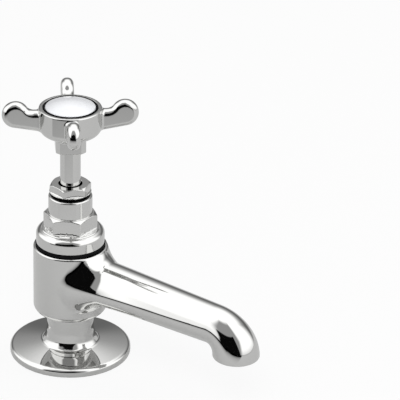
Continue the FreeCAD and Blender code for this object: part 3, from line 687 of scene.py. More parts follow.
@dataclass(frozen=True)
class SpoutLine:
    """The spout's centre line: a gently falling run and the bend down to the mouth."""

    reach: float = 92.0
    root_level: float = 42.22
    fall: float = 2.9
    bend: float = 13.0
    root_corner: float = 0.6
    rounding: float = 2.2
    corner_aside: float = 1.2
    corner_below: float = 0.42
    root_flare: float = 3.4
    flare_run: float = 22.0

    def corner(self) -> tuple[float, float]:
        """How far forward the run ends, and its level there."""
        fall = math.radians(self.fall)
        forward = self.reach - self.bend * (1 - math.sin(fall))
        return forward, self.root_level - forward * math.tan(fall)

    def mouth_level(self) -> float:
        """The level of the spout's mouth."""
        return self.corner()[1] - self.bend * math.cos(math.radians(self.fall))

    def locate(self, points: np.ndarray) -> tuple[np.ndarray, np.ndarray, np.ndarray]:
        """Finds each point's place along the line.

        Args:
            points: Points, one in each row.

        Returns:
            How far along the line the nearest place is, how far the point stands out from the line, towards
            the outside of the bend, and how far it is behind the line's start.
        """
        forward, up = -points[:, 1], points[:, 2]
        corner = self.corner()[0]
        fall = math.radians(self.fall)
        run = corner / math.cos(fall)
        onward = forward * math.cos(fall) - (up - self.root_level) * math.sin(fall)
        along = np.clip(onward, 0, run)
        over = (up - self.root_level) * math.cos(fall) + forward * math.sin(fall)
        straight = np.hypot(over, onward - along)
        centre, drop = self.reach - self.bend, self.mouth_level()
        angle = np.arctan2(forward - centre, up - drop)
        angle = np.clip(angle, fall, math.pi / 2)
        bent = np.hypot(forward - centre - self.bend * np.sin(angle), up - drop - self.bend * np.cos(angle))
        down = np.hypot(forward - self.reach, np.maximum(up - drop, 0))
        on_run = straight <= np.minimum(bent, down)
        on_bend = ~on_run & (bent <= down)
        place = np.select([on_run, on_bend], [along, run + (angle - fall) * self.bend], self.length())
        out = np.hypot(forward - centre, up - drop) - self.bend
        rise = np.select([on_run, on_bend], [over, out], forward - self.reach)
        return place, rise, np.where(on_run, np.abs(onward - along), 0)

    def length(self) -> float:
        """The line's whole length."""
        fall = math.radians(self.fall)
        return self.corner()[0] / math.cos(fall) + (math.pi / 2 - fall) * self.bend

    def radius(self, place: np.ndarray, root: float, waist: float, mouth: float) -> np.ndarray:
        """A tube's radius along the line.

        Args:
            place: Places along the line.
            root: The radius at the tap's axis.
            waist: The radius where the bend starts.
            mouth: The radius at the mouth.

        Returns:
            The radius at each place.
        """
        run = self.length() - (math.pi / 2 - math.radians(self.fall)) * self.bend
        taper = root + (waist - root) * np.minimum(place / run, 1)
        share = np.clip((place - run) / (self.length() - run), 0, 1)
        lead = (waist - root) / run * (self.length() - run)
        carried = lead * (share ** 3 - 2 * share ** 2 + share)
        widened = (mouth - waist) * (3 * share ** 2 - 2 * share ** 3)
        return taper + carried + widened

    def tube(self, points: np.ndarray, root: float, waist: float, mouth: float) -> np.ndarray:
        """Distance to a round tube along the line, with the radii that radius() takes."""
        place, rise, behind = self.locate(points)
        return np.hypot(np.hypot(points[:, 0], rise), behind) - self.radius(place, root, waist, mouth)

    def arch(self, points: np.ndarray, root: float, waist: float, mouth: float) -> np.ndarray:
        """Distance to a tube that is rounded on top, wide and flat below at its root, and round at its end.

        Args:
            points: Points, one in each row.
            root: The arch's radius at the tap's axis.
            waist: Its radius where the bend starts.
            mouth: Its radius at the mouth.

        Returns:
            Distances, negative inside the tube.
        """
        place, rise, behind = self.locate(points)
        radius = self.radius(place, root, waist, mouth)
        share = np.clip(place / self.length(), 0, 1) ** self.rounding
        corner = radius * (self.root_corner + (1 - self.root_corner) * share)
        lead = radius - corner
        flare = self.root_flare * np.exp(-(place / self.flare_run) ** 2)
        aside, below = self.corner_aside * lead + flare, self.corner_below * lead
        across = np.abs(points[:, 0])
        span = np.maximum(np.hypot(aside, below), TOUCHING)
        onward = (across * aside - rise * below) / span
        beside = np.abs(across * below + rise * aside) / span
        lean = np.clip(lead / span, 0, 1)
        level = np.sqrt(1 - lean ** 2)
        shift = np.clip((onward * level - beside * lean) / level, 0, span)
        flank = np.hypot(onward - shift, beside) - (radius - lead * shift / span)
        floor = np.maximum(np.maximum(across - aside, -rise - below - corner), rise)
        return np.minimum(flank, floor) + behind


@dataclass(frozen=True)
class Casting:
    """The tap's body: tail, base flange, neck, barrel and hollow spout."""

    flange_radius: float = 28.3
    flange_edge: float = 3.7
    flange_crown: float = 5.75
    crown_radius: float = 13.3
    crown_fillet: float = 1.6
    flare_radius: float = 11.9
    flare_level: float = 8.3
    flare_round: float = 6.0
    flange_round: float = 1.9
    foot_round: float = 0.5
    neck_radius: float = 11.0
    neck_foot: float = 13.0
    neck_fillet: float = 10.0
    neck_top: float = 21.4
    barrel_radius: float = 17.25
    shoulder: float = 22.4
    shoulder_round: float = 3.5
    neck_round: float = 1.0
    top: float = 55.6
    rim_round: float = 0.8
    spout: SpoutLine = field(default_factory=SpoutLine)
    spout_root: float = 10.9
    spout_waist: float = 9.15
    mouth_radius: float = 10.8
    mouth_edge: float = 0.9
    root_fillet: float = 5.6
    flank_fillet: float = 8.5
    flank_aside: float = 3.0
    flank_width: float = 6.0
    flank_forward: float = 6.0
    flank_run: float = 8.0
    fillet_run: float = 9.0
    fillet_least: float = 0.05
    outlet_radius: float = 8.2
    outlet_depth: float = 4.0
    tail_bore: float = 7.0
    tail_bore_top: float = 4.0
    waterway_radius: float = 6.0
    waterway_foot: float = 5.0
    seat_level: float = 36.0
    seat_radius: float = 7.3
    chamber_floor: float = 34.8
    chamber_radius: float = 9.7
    thread_foot: float = 44.6
    thread_bore: float = 10.48
    recess_inner: float = 15.0
    recess_outer: float = 23.0
    recess_depth: float = 1.5
    water_root: float = 5.5
    water_waist: float = 6.9
    water_mouth: float = 7.8
    hollow_edge: float = 0.25
    step: float = 0.65
    tail_radius: float = 10.4775
    tail_length: float = 46.0
    tail_chamfer: float = 1.2
    tail_overlap: float = 0.4
    thread_pitch: float = 1.814
    thread_depth: float = 1.162
    thread_end: float = 2.5
    thread_start: float = 4.0

    def outer(self) -> Outline:
        """The turned outline of flange, neck and barrel, drawn on above the rim."""
        return Outline([
            Corner(-6, 0),
            Corner(self.flange_radius, 0, self.foot_round),
            Corner(self.flange_radius, self.flange_edge, self.flange_round),
            Corner(self.crown_radius, self.flange_crown, self.crown_fillet),
            Corner(self.flare_radius, self.flare_level, self.flare_round),
            Corner(self.neck_radius, self.neck_foot, self.neck_fillet),
            Corner(self.neck_radius, self.neck_top, self.neck_round),
            Corner(self.barrel_radius, self.shoulder, self.shoulder_round),
            Corner(self.barrel_radius, self.top + 20),
            Corner(-6, self.top + 20),
        ])

    def bores(self) -> list[Outline]:
        """The inlet's bore, the valve chamber and the gasket's recess."""
        below, above = -60, 70
        inlet = Outline([
            Corner(-3, below),
            Corner(self.tail_bore, below),
            Corner(self.tail_bore, self.tail_bore_top),
            Corner(self.waterway_radius, self.waterway_foot, 0.3),
            Corner(self.waterway_radius, self.seat_level, 0.3),
            Corner(self.seat_radius, self.seat_level, 0.1),
            Corner(self.seat_radius, self.chamber_floor, 0.1),
            Corner(self.chamber_radius, self.chamber_floor, 0.3),
            Corner(self.chamber_radius, self.thread_foot),
            Corner(self.thread_bore, self.thread_foot),
            Corner(self.thread_bore, above),
            Corner(-3, above),
        ])
        return [inlet, ring_outline(self.recess_inner, self.recess_outer, -3, self.recess_depth, edge=0.2)]

    def fillet(self, points: np.ndarray) -> np.ndarray:
        """The fillet's radius between barrel and spout: wider at the flanks, next to nothing at the back."""
        forward, aside = -points[:, 1], np.abs(points[:, 0])
        flank = np.clip((aside - self.flank_aside) / self.flank_width, 0, 1)
        flank = flank * np.clip((forward - self.flank_forward) / self.flank_run, 0, 1)
        radius = self.root_fillet + (self.flank_fillet - self.root_fillet) * flank
        return radius * np.clip(forward / self.fillet_run, self.fillet_least, 1)

    def field(self) -> Form:
        """The distance field of the casting above its tail."""
        outer, bores, line = self.outer(), self.bores(), self.spout
        mouth = line.mouth_level()

        def distance(points: np.ndarray) -> np.ndarray:
            """Distance to the casting."""
            across, up = points[:, 0], points[:, 2]
            tube = line.arch(points, self.spout_root, self.spout_waist, self.mouth_radius)
            tube = round_max(tube, mouth - up, self.mouth_edge)
            whole = round_min(outer.turned(points), tube, self.fillet(points))
            whole = round_max(whole, up - self.top, self.rim_round)
            water = line.tube(points, self.water_root, self.water_waist, self.water_mouth)
            outlet = np.maximum(
                np.hypot(across, points[:, 1] + line.reach) - self.outlet_radius,
                np.abs(up - mouth) - self.outlet_depth,
            )
            for hollow in [water, outlet] + [bore.turned(points) for bore in bores]:
                whole = round_max(whole, -hollow, self.hollow_edge)
            return whole

        return distance

    def build(self) -> None:
        """Makes the casting and its threaded tail."""
        reach = self.spout.reach + self.mouth_radius + 1
        side = self.flange_radius + 1
        shell = skin(self.field(), (-side, -reach, -1), (side, side, self.top + 1), self.step)
        make_piece("body_casting", shell, Seat(), CHROME, Body.FIXED, ["tap_body"])
        make_piece("threaded_tail", self.tail(), Seat(), CHROME, Body.FIXED, ["tap_body"])

    def tail(self) -> Shell:
        """The tail with its helical thread."""
        outline = Outline([
            Corner(self.tail_bore, -self.tail_length, 0.4),
            Corner(self.tail_radius - self.tail_chamfer, -self.tail_length, 0.2),
            Corner(self.tail_radius, self.tail_chamfer - self.tail_length, 0.2),
            Corner(self.tail_radius, self.tail_overlap),
            Corner(self.tail_bore, self.tail_overlap),
        ])

        def distance(points: np.ndarray) -> np.ndarray:
            """Distance to the threaded tail."""
            turn = np.arctan2(points[:, 1], points[:, 0]) / (2 * math.pi)
            phase = (points[:, 2] / self.thread_pitch - turn) % 1
            wave = 0.5 - 0.5 * np.cos(2 * math.pi * phase)
            above_end = np.clip((self.tail_length - self.thread_end + points[:, 2]) / 2 + 1, 0, 1)
            free = above_end * np.clip(-points[:, 2] - self.thread_start, 0, 1)
            groove = self.tail_radius - self.thread_depth * wave * free
            wall = np.hypot(points[:, 0], points[:, 1]) - groove
            return round_max(outline.turned(points), wall, 0.05)

        return lathe(outline, self.thread_pitch / 7, 56, distance)


@dataclass(frozen=True)
class Fixings:
    """The pieces that hold the tap down on the deck."""

    deck: float = 12.0
    washer_height: float = 2.5
    washer_radius: float = 22.0
    washer_bore: float = 10.9
    nut_height: float = 7.0
    nut_flats: float = 30.0
    nut_chamfer: float = 1.0
    nut_bore: float = 10.56
    gasket_inner: float = 15.15
    gasket_outer: float = 22.85
    gasket_height: float = 1.5

    def build(self) -> None:
        """Makes the gasket, the washer and the back nut."""
        ring = ring_outline(self.gasket_inner, self.gasket_outer, 0, self.gasket_height, edge=0.3)
        gasket = lathe(ring, step=1.2, segments=96)
        make_piece("foot_gasket", gasket, Seat(), RUBBER, Body.FIXED, ["base_gasket"])
        level = -self.deck - self.washer_height
        ring = ring_outline(self.washer_bore, self.washer_radius, 0, self.washer_height, edge=0.5)
        washer = lathe(ring, step=1.5, segments=96)
        make_piece("deck_washer", washer, Seat(level), PLASTIC, Body.FIXED, ["fixing_washer"])
        make_piece("back_nut", self.nut(), Seat(level - self.nut_height), BRASS, Body.FIXED, ["backnut"])

    def nut(self) -> Shell:
        """The back nut, standing on level zero, with the corners of both its faces turned off."""
        flat, corner = self.nut_flats / 2, self.nut_flats / math.sqrt(3)
        outline = Outline([
            Corner(self.nut_bore, 0, 0.4),
            Corner(flat, 0, 0.1),
            Corner(corner, self.nut_chamfer, 0.1),
            Corner(corner, self.nut_height - self.nut_chamfer, 0.1),
            Corner(flat, self.nut_height, 0.1),
            Corner(self.nut_bore, self.nut_height, 0.4),
        ])

        def distance(points: np.ndarray) -> np.ndarray:
            """Distance to the nut."""
            return round_max(outline.turned(points), hexagon_distance(points, self.nut_flats, 0.2), 0.15)

        return lathe(outline, 0.5, 144, distance, self.nut_flats)


@dataclass(frozen=True)
class Headwork:
    """The valve's bonnet on its black ring, and the gland nut on its sleeve."""

    seal_level: float = 55.6
    seal_height: float = 1.7
    seal_radius: float = 16.25
    seal_bore: float = 10.48
    bore: float = 7.2
    guide_radius: float = 4.83
    guide_foot: float = 8.5
    guide_top: float = 12.5
    nose_radius: float = 10.4
    nose_length: float = 10.3
    flange_radius: float = 15.9
    flange_height: float = 4.4
    crown_radius: float = 13.5
    crown_fall: float = 0.45
    crown_round: float = 2.9
    bevel_height: float = 3.1
    flats: float = 22.0
    hexagon_height: float = 7.5
    chamfer: float = 1.2
    sleeve_radius: float = 10.2
    sleeve_height: float = 8.9
    sleeve_rim: float = 0.8
    bonnet_yaw: float = 56.3
    gland_flats: float = 17.0
    gland_collar: float = 8.1
    groove_radius: float = 9.35
    gland_collar_height: float = 1.8
    gland_height: float = 4.0
    gland_chamfer: float = 0.8
    gland_bore: float = 5.5
    gland_shank: float = 7.12
    gland_shank_length: float = 5.2
    gland_yaw: float = 16.7

    def build(self) -> None:
        """Makes the black ring, the bonnet and the gland nut."""
        ring = ring_outline(self.seal_bore, self.seal_radius, 0, self.seal_height, edge=0.6)
        seal = lathe(ring, step=0.8, segments=128)
        make_piece("body_ring", seal, Seat(self.seal_level), RUBBER, Body.FIXED, ["body_seal"])
        level = self.seal_level + self.seal_height
        seat = Seat(level, self.bonnet_yaw)
        make_piece("bonnet_shell", self.bonnet(), seat, CHROME, Body.FIXED, ["bonnet"])
        top = level + self.sleeve_top()
        seat = Seat(top, self.gland_yaw)
        make_piece("gland_nut_shell", self.gland(), seat, CHROME, Body.FIXED, ["gland_nut"])
        # The groove ring is painted near black as shade under the gland nut
        make_piece("gland_groove", self.groove(), Seat(top), PAINTED_SHADE_CHROME, Body.FIXED, ["gland_nut"])

    def sleeve_top(self) -> float:
        """The sleeve's top above the bonnet's seat."""
        return self.flange_height + self.bevel_height + self.hexagon_height + self.sleeve_height

    def bonnet(self) -> Shell:
        """The bonnet: threaded nose, round flange, hexagon and sleeve."""
        hex_low = self.flange_height + self.bevel_height
        hex_top = hex_low + self.hexagon_height
        flat, corner = self.flats / 2, self.flats / math.sqrt(3)
        outline = Outline([
            Corner(self.bore, -self.nose_length, 0.3),
            Corner(self.nose_radius, -self.nose_length, 0.6),
            Corner(self.nose_radius, 0, 0.1),
            Corner(self.flange_radius, 0, 0.3),
            Corner(self.flange_radius, hex_low - self.crown_fall, self.crown_round),
            Corner(self.crown_radius, hex_low - self.crown_fall, 0.1),
            Corner(self.crown_radius - 0.3, hex_low, 0.1),
            Corner(corner, hex_low, 0.05),
            Corner(corner, hex_top - self.chamfer, 0.15),
            Corner(flat, hex_top, 0.15),
            Corner(self.sleeve_radius, hex_top, 0.25),
            Corner(self.sleeve_radius, self.sleeve_top(), self.sleeve_rim),
            Corner(self.bore, self.sleeve_top(), 0.3),
            Corner(self.bore, self.guide_top, 0.1),
            Corner(self.guide_radius, self.guide_top, 0.1),
            Corner(self.guide_radius, self.guide_foot, 0.1),
            Corner(self.bore, self.guide_foot, 0.1),
        ])

        def distance(points: np.ndarray) -> np.ndarray:
            """Distance to the bonnet."""
            nut = np.maximum(hexagon_distance(points, self.flats, 0.2), hex_low - points[:, 2])
            foot = points[:, 2] - hex_low
            return round_max(outline.turned(points), np.minimum(nut, foot), 0.12)

        return lathe(outline, 0.42, 168, distance)

    def groove(self) -> Shell:
        """A near-black ring of painted shade in the groove between the sleeve and the gland nut."""
        inner, outer = self.gland_bore + 0.5, self.gland_collar + 0.15
        foot, top = 0.02, self.gland_collar_height - 0.02
        return lathe(Outline([
            Corner(inner, foot, 0.1),
            Corner(self.groove_radius, foot, 0.1),
            Corner(self.groove_radius, 0.3, 0.1),
            Corner(outer, 0.6, 0.2),
            Corner(outer, top, 0.1),
            Corner(inner, top, 0.1),
        ]), step=0.4, segments=96)

    def gland(self) -> Shell:
        """The gland nut: threaded shank, collar and hexagon."""
        top = self.gland_collar_height + self.gland_height
        flat, corner = self.gland_flats / 2, self.gland_flats / math.sqrt(3)
        outline = Outline([
            Corner(self.gland_bore, -self.gland_shank_length, 0.2),
            Corner(self.gland_shank, -self.gland_shank_length, 0.4),
            Corner(self.gland_shank, 0, 0.1),
            Corner(self.gland_collar, 0, 0.2),
            Corner(self.gland_collar, self.gland_collar_height, 0.1),
            Corner(corner, self.gland_collar_height, 0.1),
            Corner(corner, top - self.gland_chamfer, 0.15),
            Corner(flat, top, 0.15),
            Corner(self.gland_bore, top, 0.3),
        ])

        def distance(points: np.ndarray) -> np.ndarray:
            """Distance to the gland nut."""
            nut = hexagon_distance(points, self.gland_flats, 0.2)
            foot = points[:, 2] - self.gland_collar_height
            return round_max(outline.turned(points), np.minimum(nut, foot), 0.12)

        return lathe(outline, 0.35, 144, distance)


@dataclass(frozen=True)
class Crosshead:
    """The handle: skirt, bowl-shaped hub and four upright arms, with the hollow for the index disc."""

    level: float = 104.3
    yaw: float = 38.6
    skirt_half: float = 6.95
    skirt_cut: float = 2.1
    hub_radius: float = 14.45
    hub_foot: float = 7.9
    hub_foot_level: float = 6.2
    hub_shoulder: float = 9.3
    hub_top: float = 20.9
    hub_rim: float = 0.6
    lobe_across: float = 24.9
    lobe_level: float = 17.7
    lobe_radius: float = 6.3
    waist_angle: float = 35.0
    waist_radius: float = 4.0
    under_slope: float = 10.0
    arm_half: float = 2.95
    arm_edge: float = 2.7
    arm_fillet: float = 1.2
    recess_radius: float = 12.55
    recess_floor: float = 17.3
    well_radius: float = 6.2
    well_floor: float = 11.7
    spindle_radius: float = 4.83
    seat_level: float = 3.0
    square_half: float = 3.28
    overlap: float = 1.0
    foot_round: float = 6.0
    shoulder_round: float = 4.0
    skirt_edge: float = 0.3
    skirt_foot_edge: float = 0.35
    skirt_fillet: float = 0.8
    recess_edge: float = 0.25
    bore_edge: float = 0.15
    step: float = 0.4

    def arm_outline(self) -> Outline:
        """The arm's side view: a round lobe above a waist, and a straight underside."""
        slope, waist = math.radians(self.under_slope), math.radians(self.waist_angle)
        across, up, radius = self.lobe_across, self.lobe_level, self.lobe_radius
        under = (across + radius * math.sin(slope), up - radius * math.cos(slope))
        leave = (across - radius * math.cos(waist), up + radius * math.sin(waist))
        neck = leave[1] - self.waist_radius * (1 - math.sin(waist))
        root = self.recess_radius - 0.6

        def underside(place: float) -> float:
            """The underside's level."""
            return under[1] + (place - under[0]) * math.tan(slope)

        def flank(level: float) -> float:
            """How far out the line that touches the lobe above the waist is."""
            return leave[0] + (level - leave[1]) * math.tan(waist)

        return Outline([
            Corner(root, underside(root)),
            Corner(across + radius, underside(across + radius), radius),
            Corner(across + radius, up + radius, radius),
            Corner(flank(up + radius), up + radius, radius),
            Corner(flank(neck), neck, self.waist_radius),
            Corner(root, neck),
        ])

    def hub_outline(self) -> Outline:
        """The hub's turned outline: a bowl below a straight wall."""
        return Outline([
            Corner(-5, self.hub_foot_level),
            Corner(self.hub_foot, self.hub_foot_level, self.foot_round),
            Corner(self.hub_radius, self.hub_shoulder, self.shoulder_round),
            Corner(self.hub_radius, self.hub_top, self.hub_rim),
            Corner(-5, self.hub_top),
        ])

    def hollow_outline(self) -> Outline:
        """The turned hollow for the disc and the screw."""
        above = self.hub_top + 9
        return Outline([
            Corner(-3, self.well_floor),
            Corner(self.well_radius, self.well_floor, 0.4),
            Corner(self.well_radius, self.recess_floor, 0.2),
            Corner(self.recess_radius, self.recess_floor, 0.3),
            Corner(self.recess_radius, above),
            Corner(-3, above),
        ])

    def form(self) -> Form:
        """The handle's distance field in its own frame."""
        arm, hub, hollow = self.arm_outline(), self.hub_outline(), self.hollow_outline()

        def distance(points: np.ndarray) -> np.ndarray:
            """Distance to the handle."""
            wide, deep, up = np.abs(points[:, 0]), np.abs(points[:, 1]), points[:, 2]
            out, aside = np.maximum(wide, deep), np.minimum(wide, deep)
            arms = round_max(arm.distance(out, up), aside - self.arm_half, self.arm_edge)
            whole = round_min(hub.turned(points), arms, self.arm_fillet)
            half = self.skirt_half
            corner = (wide + deep - (2 * half - self.skirt_cut)) / math.sqrt(2)
            skirt = round_max(round_max(out - half, corner, self.skirt_edge), -up, self.skirt_foot_edge)
            whole = round_min(whole, np.maximum(skirt, up - self.well_floor), self.skirt_fillet)
            whole = round_max(whole, -hollow.turned(points), self.recess_edge)
            bore = np.maximum(np.hypot(wide, deep) - self.spindle_radius, up - self.seat_level)
            square = np.maximum(out - self.square_half, up - self.well_floor - self.overlap)
            return round_max(whole, -np.minimum(bore, square), self.bore_edge)

        return distance

    def build(self) -> None:
        """Makes the handle."""
        side = self.lobe_across + self.lobe_radius + 1
        top = self.lobe_level + self.lobe_radius + 1
        shell = skin(self.form(), (-side, -side, -1), (side, side, top), self.step)
        make_piece("crosshead", shell, Seat(self.level, self.yaw), CHROME, Body.TURNING, ["handle"])


@dataclass(frozen=True)
class IndexButton:
    """The white domed disc in its black ring, bare of any mark."""

    level: float = 123.2
    radius: float = 11.7
    edge: float = 2.1
    edge_round: float = 0.5
    rise: float = 2.8
    ring_inner: float = 11.78
    ring_outer: float = 12.4
    ring_height: float = 2.3

    def build(self) -> None:
        """Makes the disc and its ring."""
        seat = Seat(self.level)
        make_piece("index_dome", self.disc(), seat, PORCELAIN, Body.TURNING, ["index_disc"])
        outline = ring_outline(self.ring_inner, self.ring_outer, 0, self.ring_height, edge=0.25)
        ring = lathe(outline, step=0.5, segments=128)
        make_piece("dome_ring", ring, seat, RUBBER, Body.TURNING, ["disc_ring"])

    def disc(self) -> Shell:
        """The disc: lathed from a rough blank, whose points settle on a wall and a ball's cap."""
        dome = (self.radius ** 2 + self.rise ** 2) / (2 * self.rise)
        centre = self.edge + self.rise - dome
        wall = Outline([
            Corner(-30, 0), Corner(self.radius, 0, 0.3), Corner(self.radius, 40), Corner(-30, 40)
        ])
        blank = Outline([
            Corner(-3, 0),
            Corner(self.radius, 0, 0.3),
            Corner(self.radius, self.edge, 0.4),
            Corner(self.radius * 0.55, self.edge + self.rise * 0.7, 3.0),
            Corner(-3, self.edge + self.rise, 0.5),
        ])

        def distance(points: np.ndarray) -> np.ndarray:
            """Distance to the domed disc."""
            away = np.sqrt(points[:, 0] ** 2 + points[:, 1] ** 2 + (points[:, 2] - centre) ** 2)
            return round_max(wall.turned(points), away - dome, self.edge_round)

        return lathe(blank, 0.5, 128, distance)


@dataclass(frozen=True)
class RisingSpindle:
    """The spindle: foot with its socket, screwed collar, bright column and square end."""

    level: float = 41.8
    yaw: float = 38.6
    foot_radius: float = 6.5
    foot_length: float = 10.4
    thread_radius: float = 7.12
    thread_length: float = 8.0
    thread_depth: float = 0.9
    thread_lead: float = 2.54
    thread_end: float = 0.6
    thread_steepness: float = 1.6
    column_radius: float = 4.75
    column_top: float = 65.5
    square_half: float = 3.2
    square_length: float = 8.3
    socket_radius: float = 3.2
    socket_depth: float = 11.0
    hole_radius: float = 2.0
    hole_depth: float = 10.0

    def build(self) -> None:
        """Makes the spindle."""
        top = self.column_top + self.square_length
        diagonal = self.square_half * math.sqrt(2)
        thread_top = self.foot_length + self.thread_length
        outline = Outline([
            Corner(-2, self.socket_depth),
            Corner(self.socket_radius, self.socket_depth, 0.2),
            Corner(self.socket_radius, 0, 0.2),
            Corner(self.foot_radius, 0, 0.4),
            Corner(self.foot_radius, self.foot_length, 0.1),
            Corner(self.thread_radius, self.foot_length, 0.3),
            Corner(self.thread_radius, thread_top, 0.3),
            Corner(self.column_radius, thread_top, 0.3),
            Corner(self.column_radius, self.column_top, 0.15),
            Corner(diagonal, self.column_top, 0.03),
            Corner(diagonal, top, 0.3),
            Corner(self.hole_radius, top, 0.2),
            Corner(self.hole_radius, top - self.hole_depth, 0.2),
            Corner(-2, top - self.hole_depth),
        ])

        def distance(points: np.ndarray) -> np.ndarray:
            """Distance to the spindle."""
            wide, deep, up = np.abs(points[:, 0]), np.abs(points[:, 1]), points[:, 2]
            square = np.maximum(round_max(wide - self.square_half, deep - self.square_half, 0.2), -up)
            whole = round_max(outline.turned(points), np.minimum(square, up - self.column_top), 0.05)
            turn = np.arctan2(points[:, 1], points[:, 0]) / (2 * math.pi)
            phase = (up / self.thread_lead - turn) % 1
            wave = np.clip(np.cos(2 * math.pi * phase) * self.thread_steepness, -1, 1) * 0.5 + 0.5
            above = np.clip(up - self.foot_length - self.thread_end, 0, 1)
            free = above * np.clip(thread_top - self.thread_end - up, 0, 1)
            groove = self.thread_radius - self.thread_depth * wave * free
            return round_max(whole, np.hypot(wide, deep) - groove, 0.05)

        shell = lathe(outline, 0.5, 96, distance)
        make_piece("spindle_shaft", shell, Seat(self.level, self.yaw), CHROME, Body.TURNING, ["spindle"])


# The studio


@dataclass(frozen=True)
class Viewpoint:
    """The photograph's camera, fitted to the tap, in millimetres and degrees."""

    azimuth: float = -57.5
    elevation: float = 26.0
    roll: float = 1.215
    lens: float = 270.0
    anchor_right: float = -59.74
    anchor_up: float = -72.56
    anchor_depth: float = 1417.9
    anchor_level: float = -1.2

    def build(self) -> None:
        """Makes the camera."""
        azimuth, elevation = math.radians(self.azimuth), math.radians(self.elevation)
        roll = math.radians(self.roll)
        right = Vector((math.cos(azimuth), math.sin(azimuth), 0))
        level = math.cos(elevation)
        forward = Vector((-math.sin(azimuth) * level, math.cos(azimuth) * level, -math.sin(elevation)))
        up = right.cross(forward)
        place = Vector((0, 0, self.anchor_level)) - right * self.anchor_right - up * self.anchor_up
        place -= forward * self.anchor_depth
        turned_right = right * math.cos(roll) + up * math.sin(roll)
        turned_up = up * math.cos(roll) - right * math.sin(roll)
        data = bpy.data.cameras.new("photograph")
        data.lens = self.lens
        data.clip_start, data.clip_end = 0.05, 20
        camera = bpy.data.objects.new("photograph", data)
        turn = Matrix((turned_right, turned_up, -forward)).transposed()
        camera.matrix_world = Matrix.Translation(place * MILLIMETRE) @ turn.to_4x4()
        bpy.context.scene.collection.objects.link(camera)
        bpy.context.scene.camera = camera


@dataclass(frozen=True)
class Card:
    """A card far round the set, as a glossy surface sees it.

    Its corners are pairs of azimuth and elevation in degrees, clockwise with azimuth drawn to the right and
    elevation up. Azimuth 0 is where the spout points, 90 is the +x side and 180 the back of the tap.
    """

    corners: tuple[tuple[float, float], ...]
    level: float
    soft: float = 3.0


class Sky(NodeTree):
    """The node tree of the surroundings."""

    def __init__(self) -> None:
        """Starts an empty world."""
        world = bpy.data.worlds.new("studio")
        bpy.context.scene.world = world
        super().__init__(world)

    def step(self, value: Socket, start: float, end: float, low: Value, high: Value) -> Socket:
        """A smooth step between two levels while the value goes from start to end."""
        return self.range(value, low, high, start, end, "SMOOTHSTEP")

    def beyond(self, azimuth: Socket, height: Socket, card: Card) -> Socket:
        """How many degrees outside a card a direction is.

        Args:
            azimuth: The direction's azimuth in degrees.
            height: Its elevation in degrees.
            card: The card.

        Returns:
            The degrees, negative inside it.
        """
        middle = sum(corner[0] for corner in card.corners) / len(card.corners)
        turn = self.sum("WRAP", self.sum("SUBTRACT", azimuth, middle), 180.0, -180.0)
        outside = None
        for number, corner in enumerate(card.corners):
            before = card.corners[number - 1]
            run, rise = corner[0] - before[0], corner[1] - before[1]
            length = math.hypot(run, rise)
            offset = (rise * (before[0] - middle) - run * before[1]) / length
            aside = self.sum("MULTIPLY_ADD", turn, -rise / length, offset)
            aside = self.sum("MULTIPLY_ADD", height, run / length, aside)
            outside = aside if outside is None else self.sum("MAXIMUM", outside, aside)
        return outside


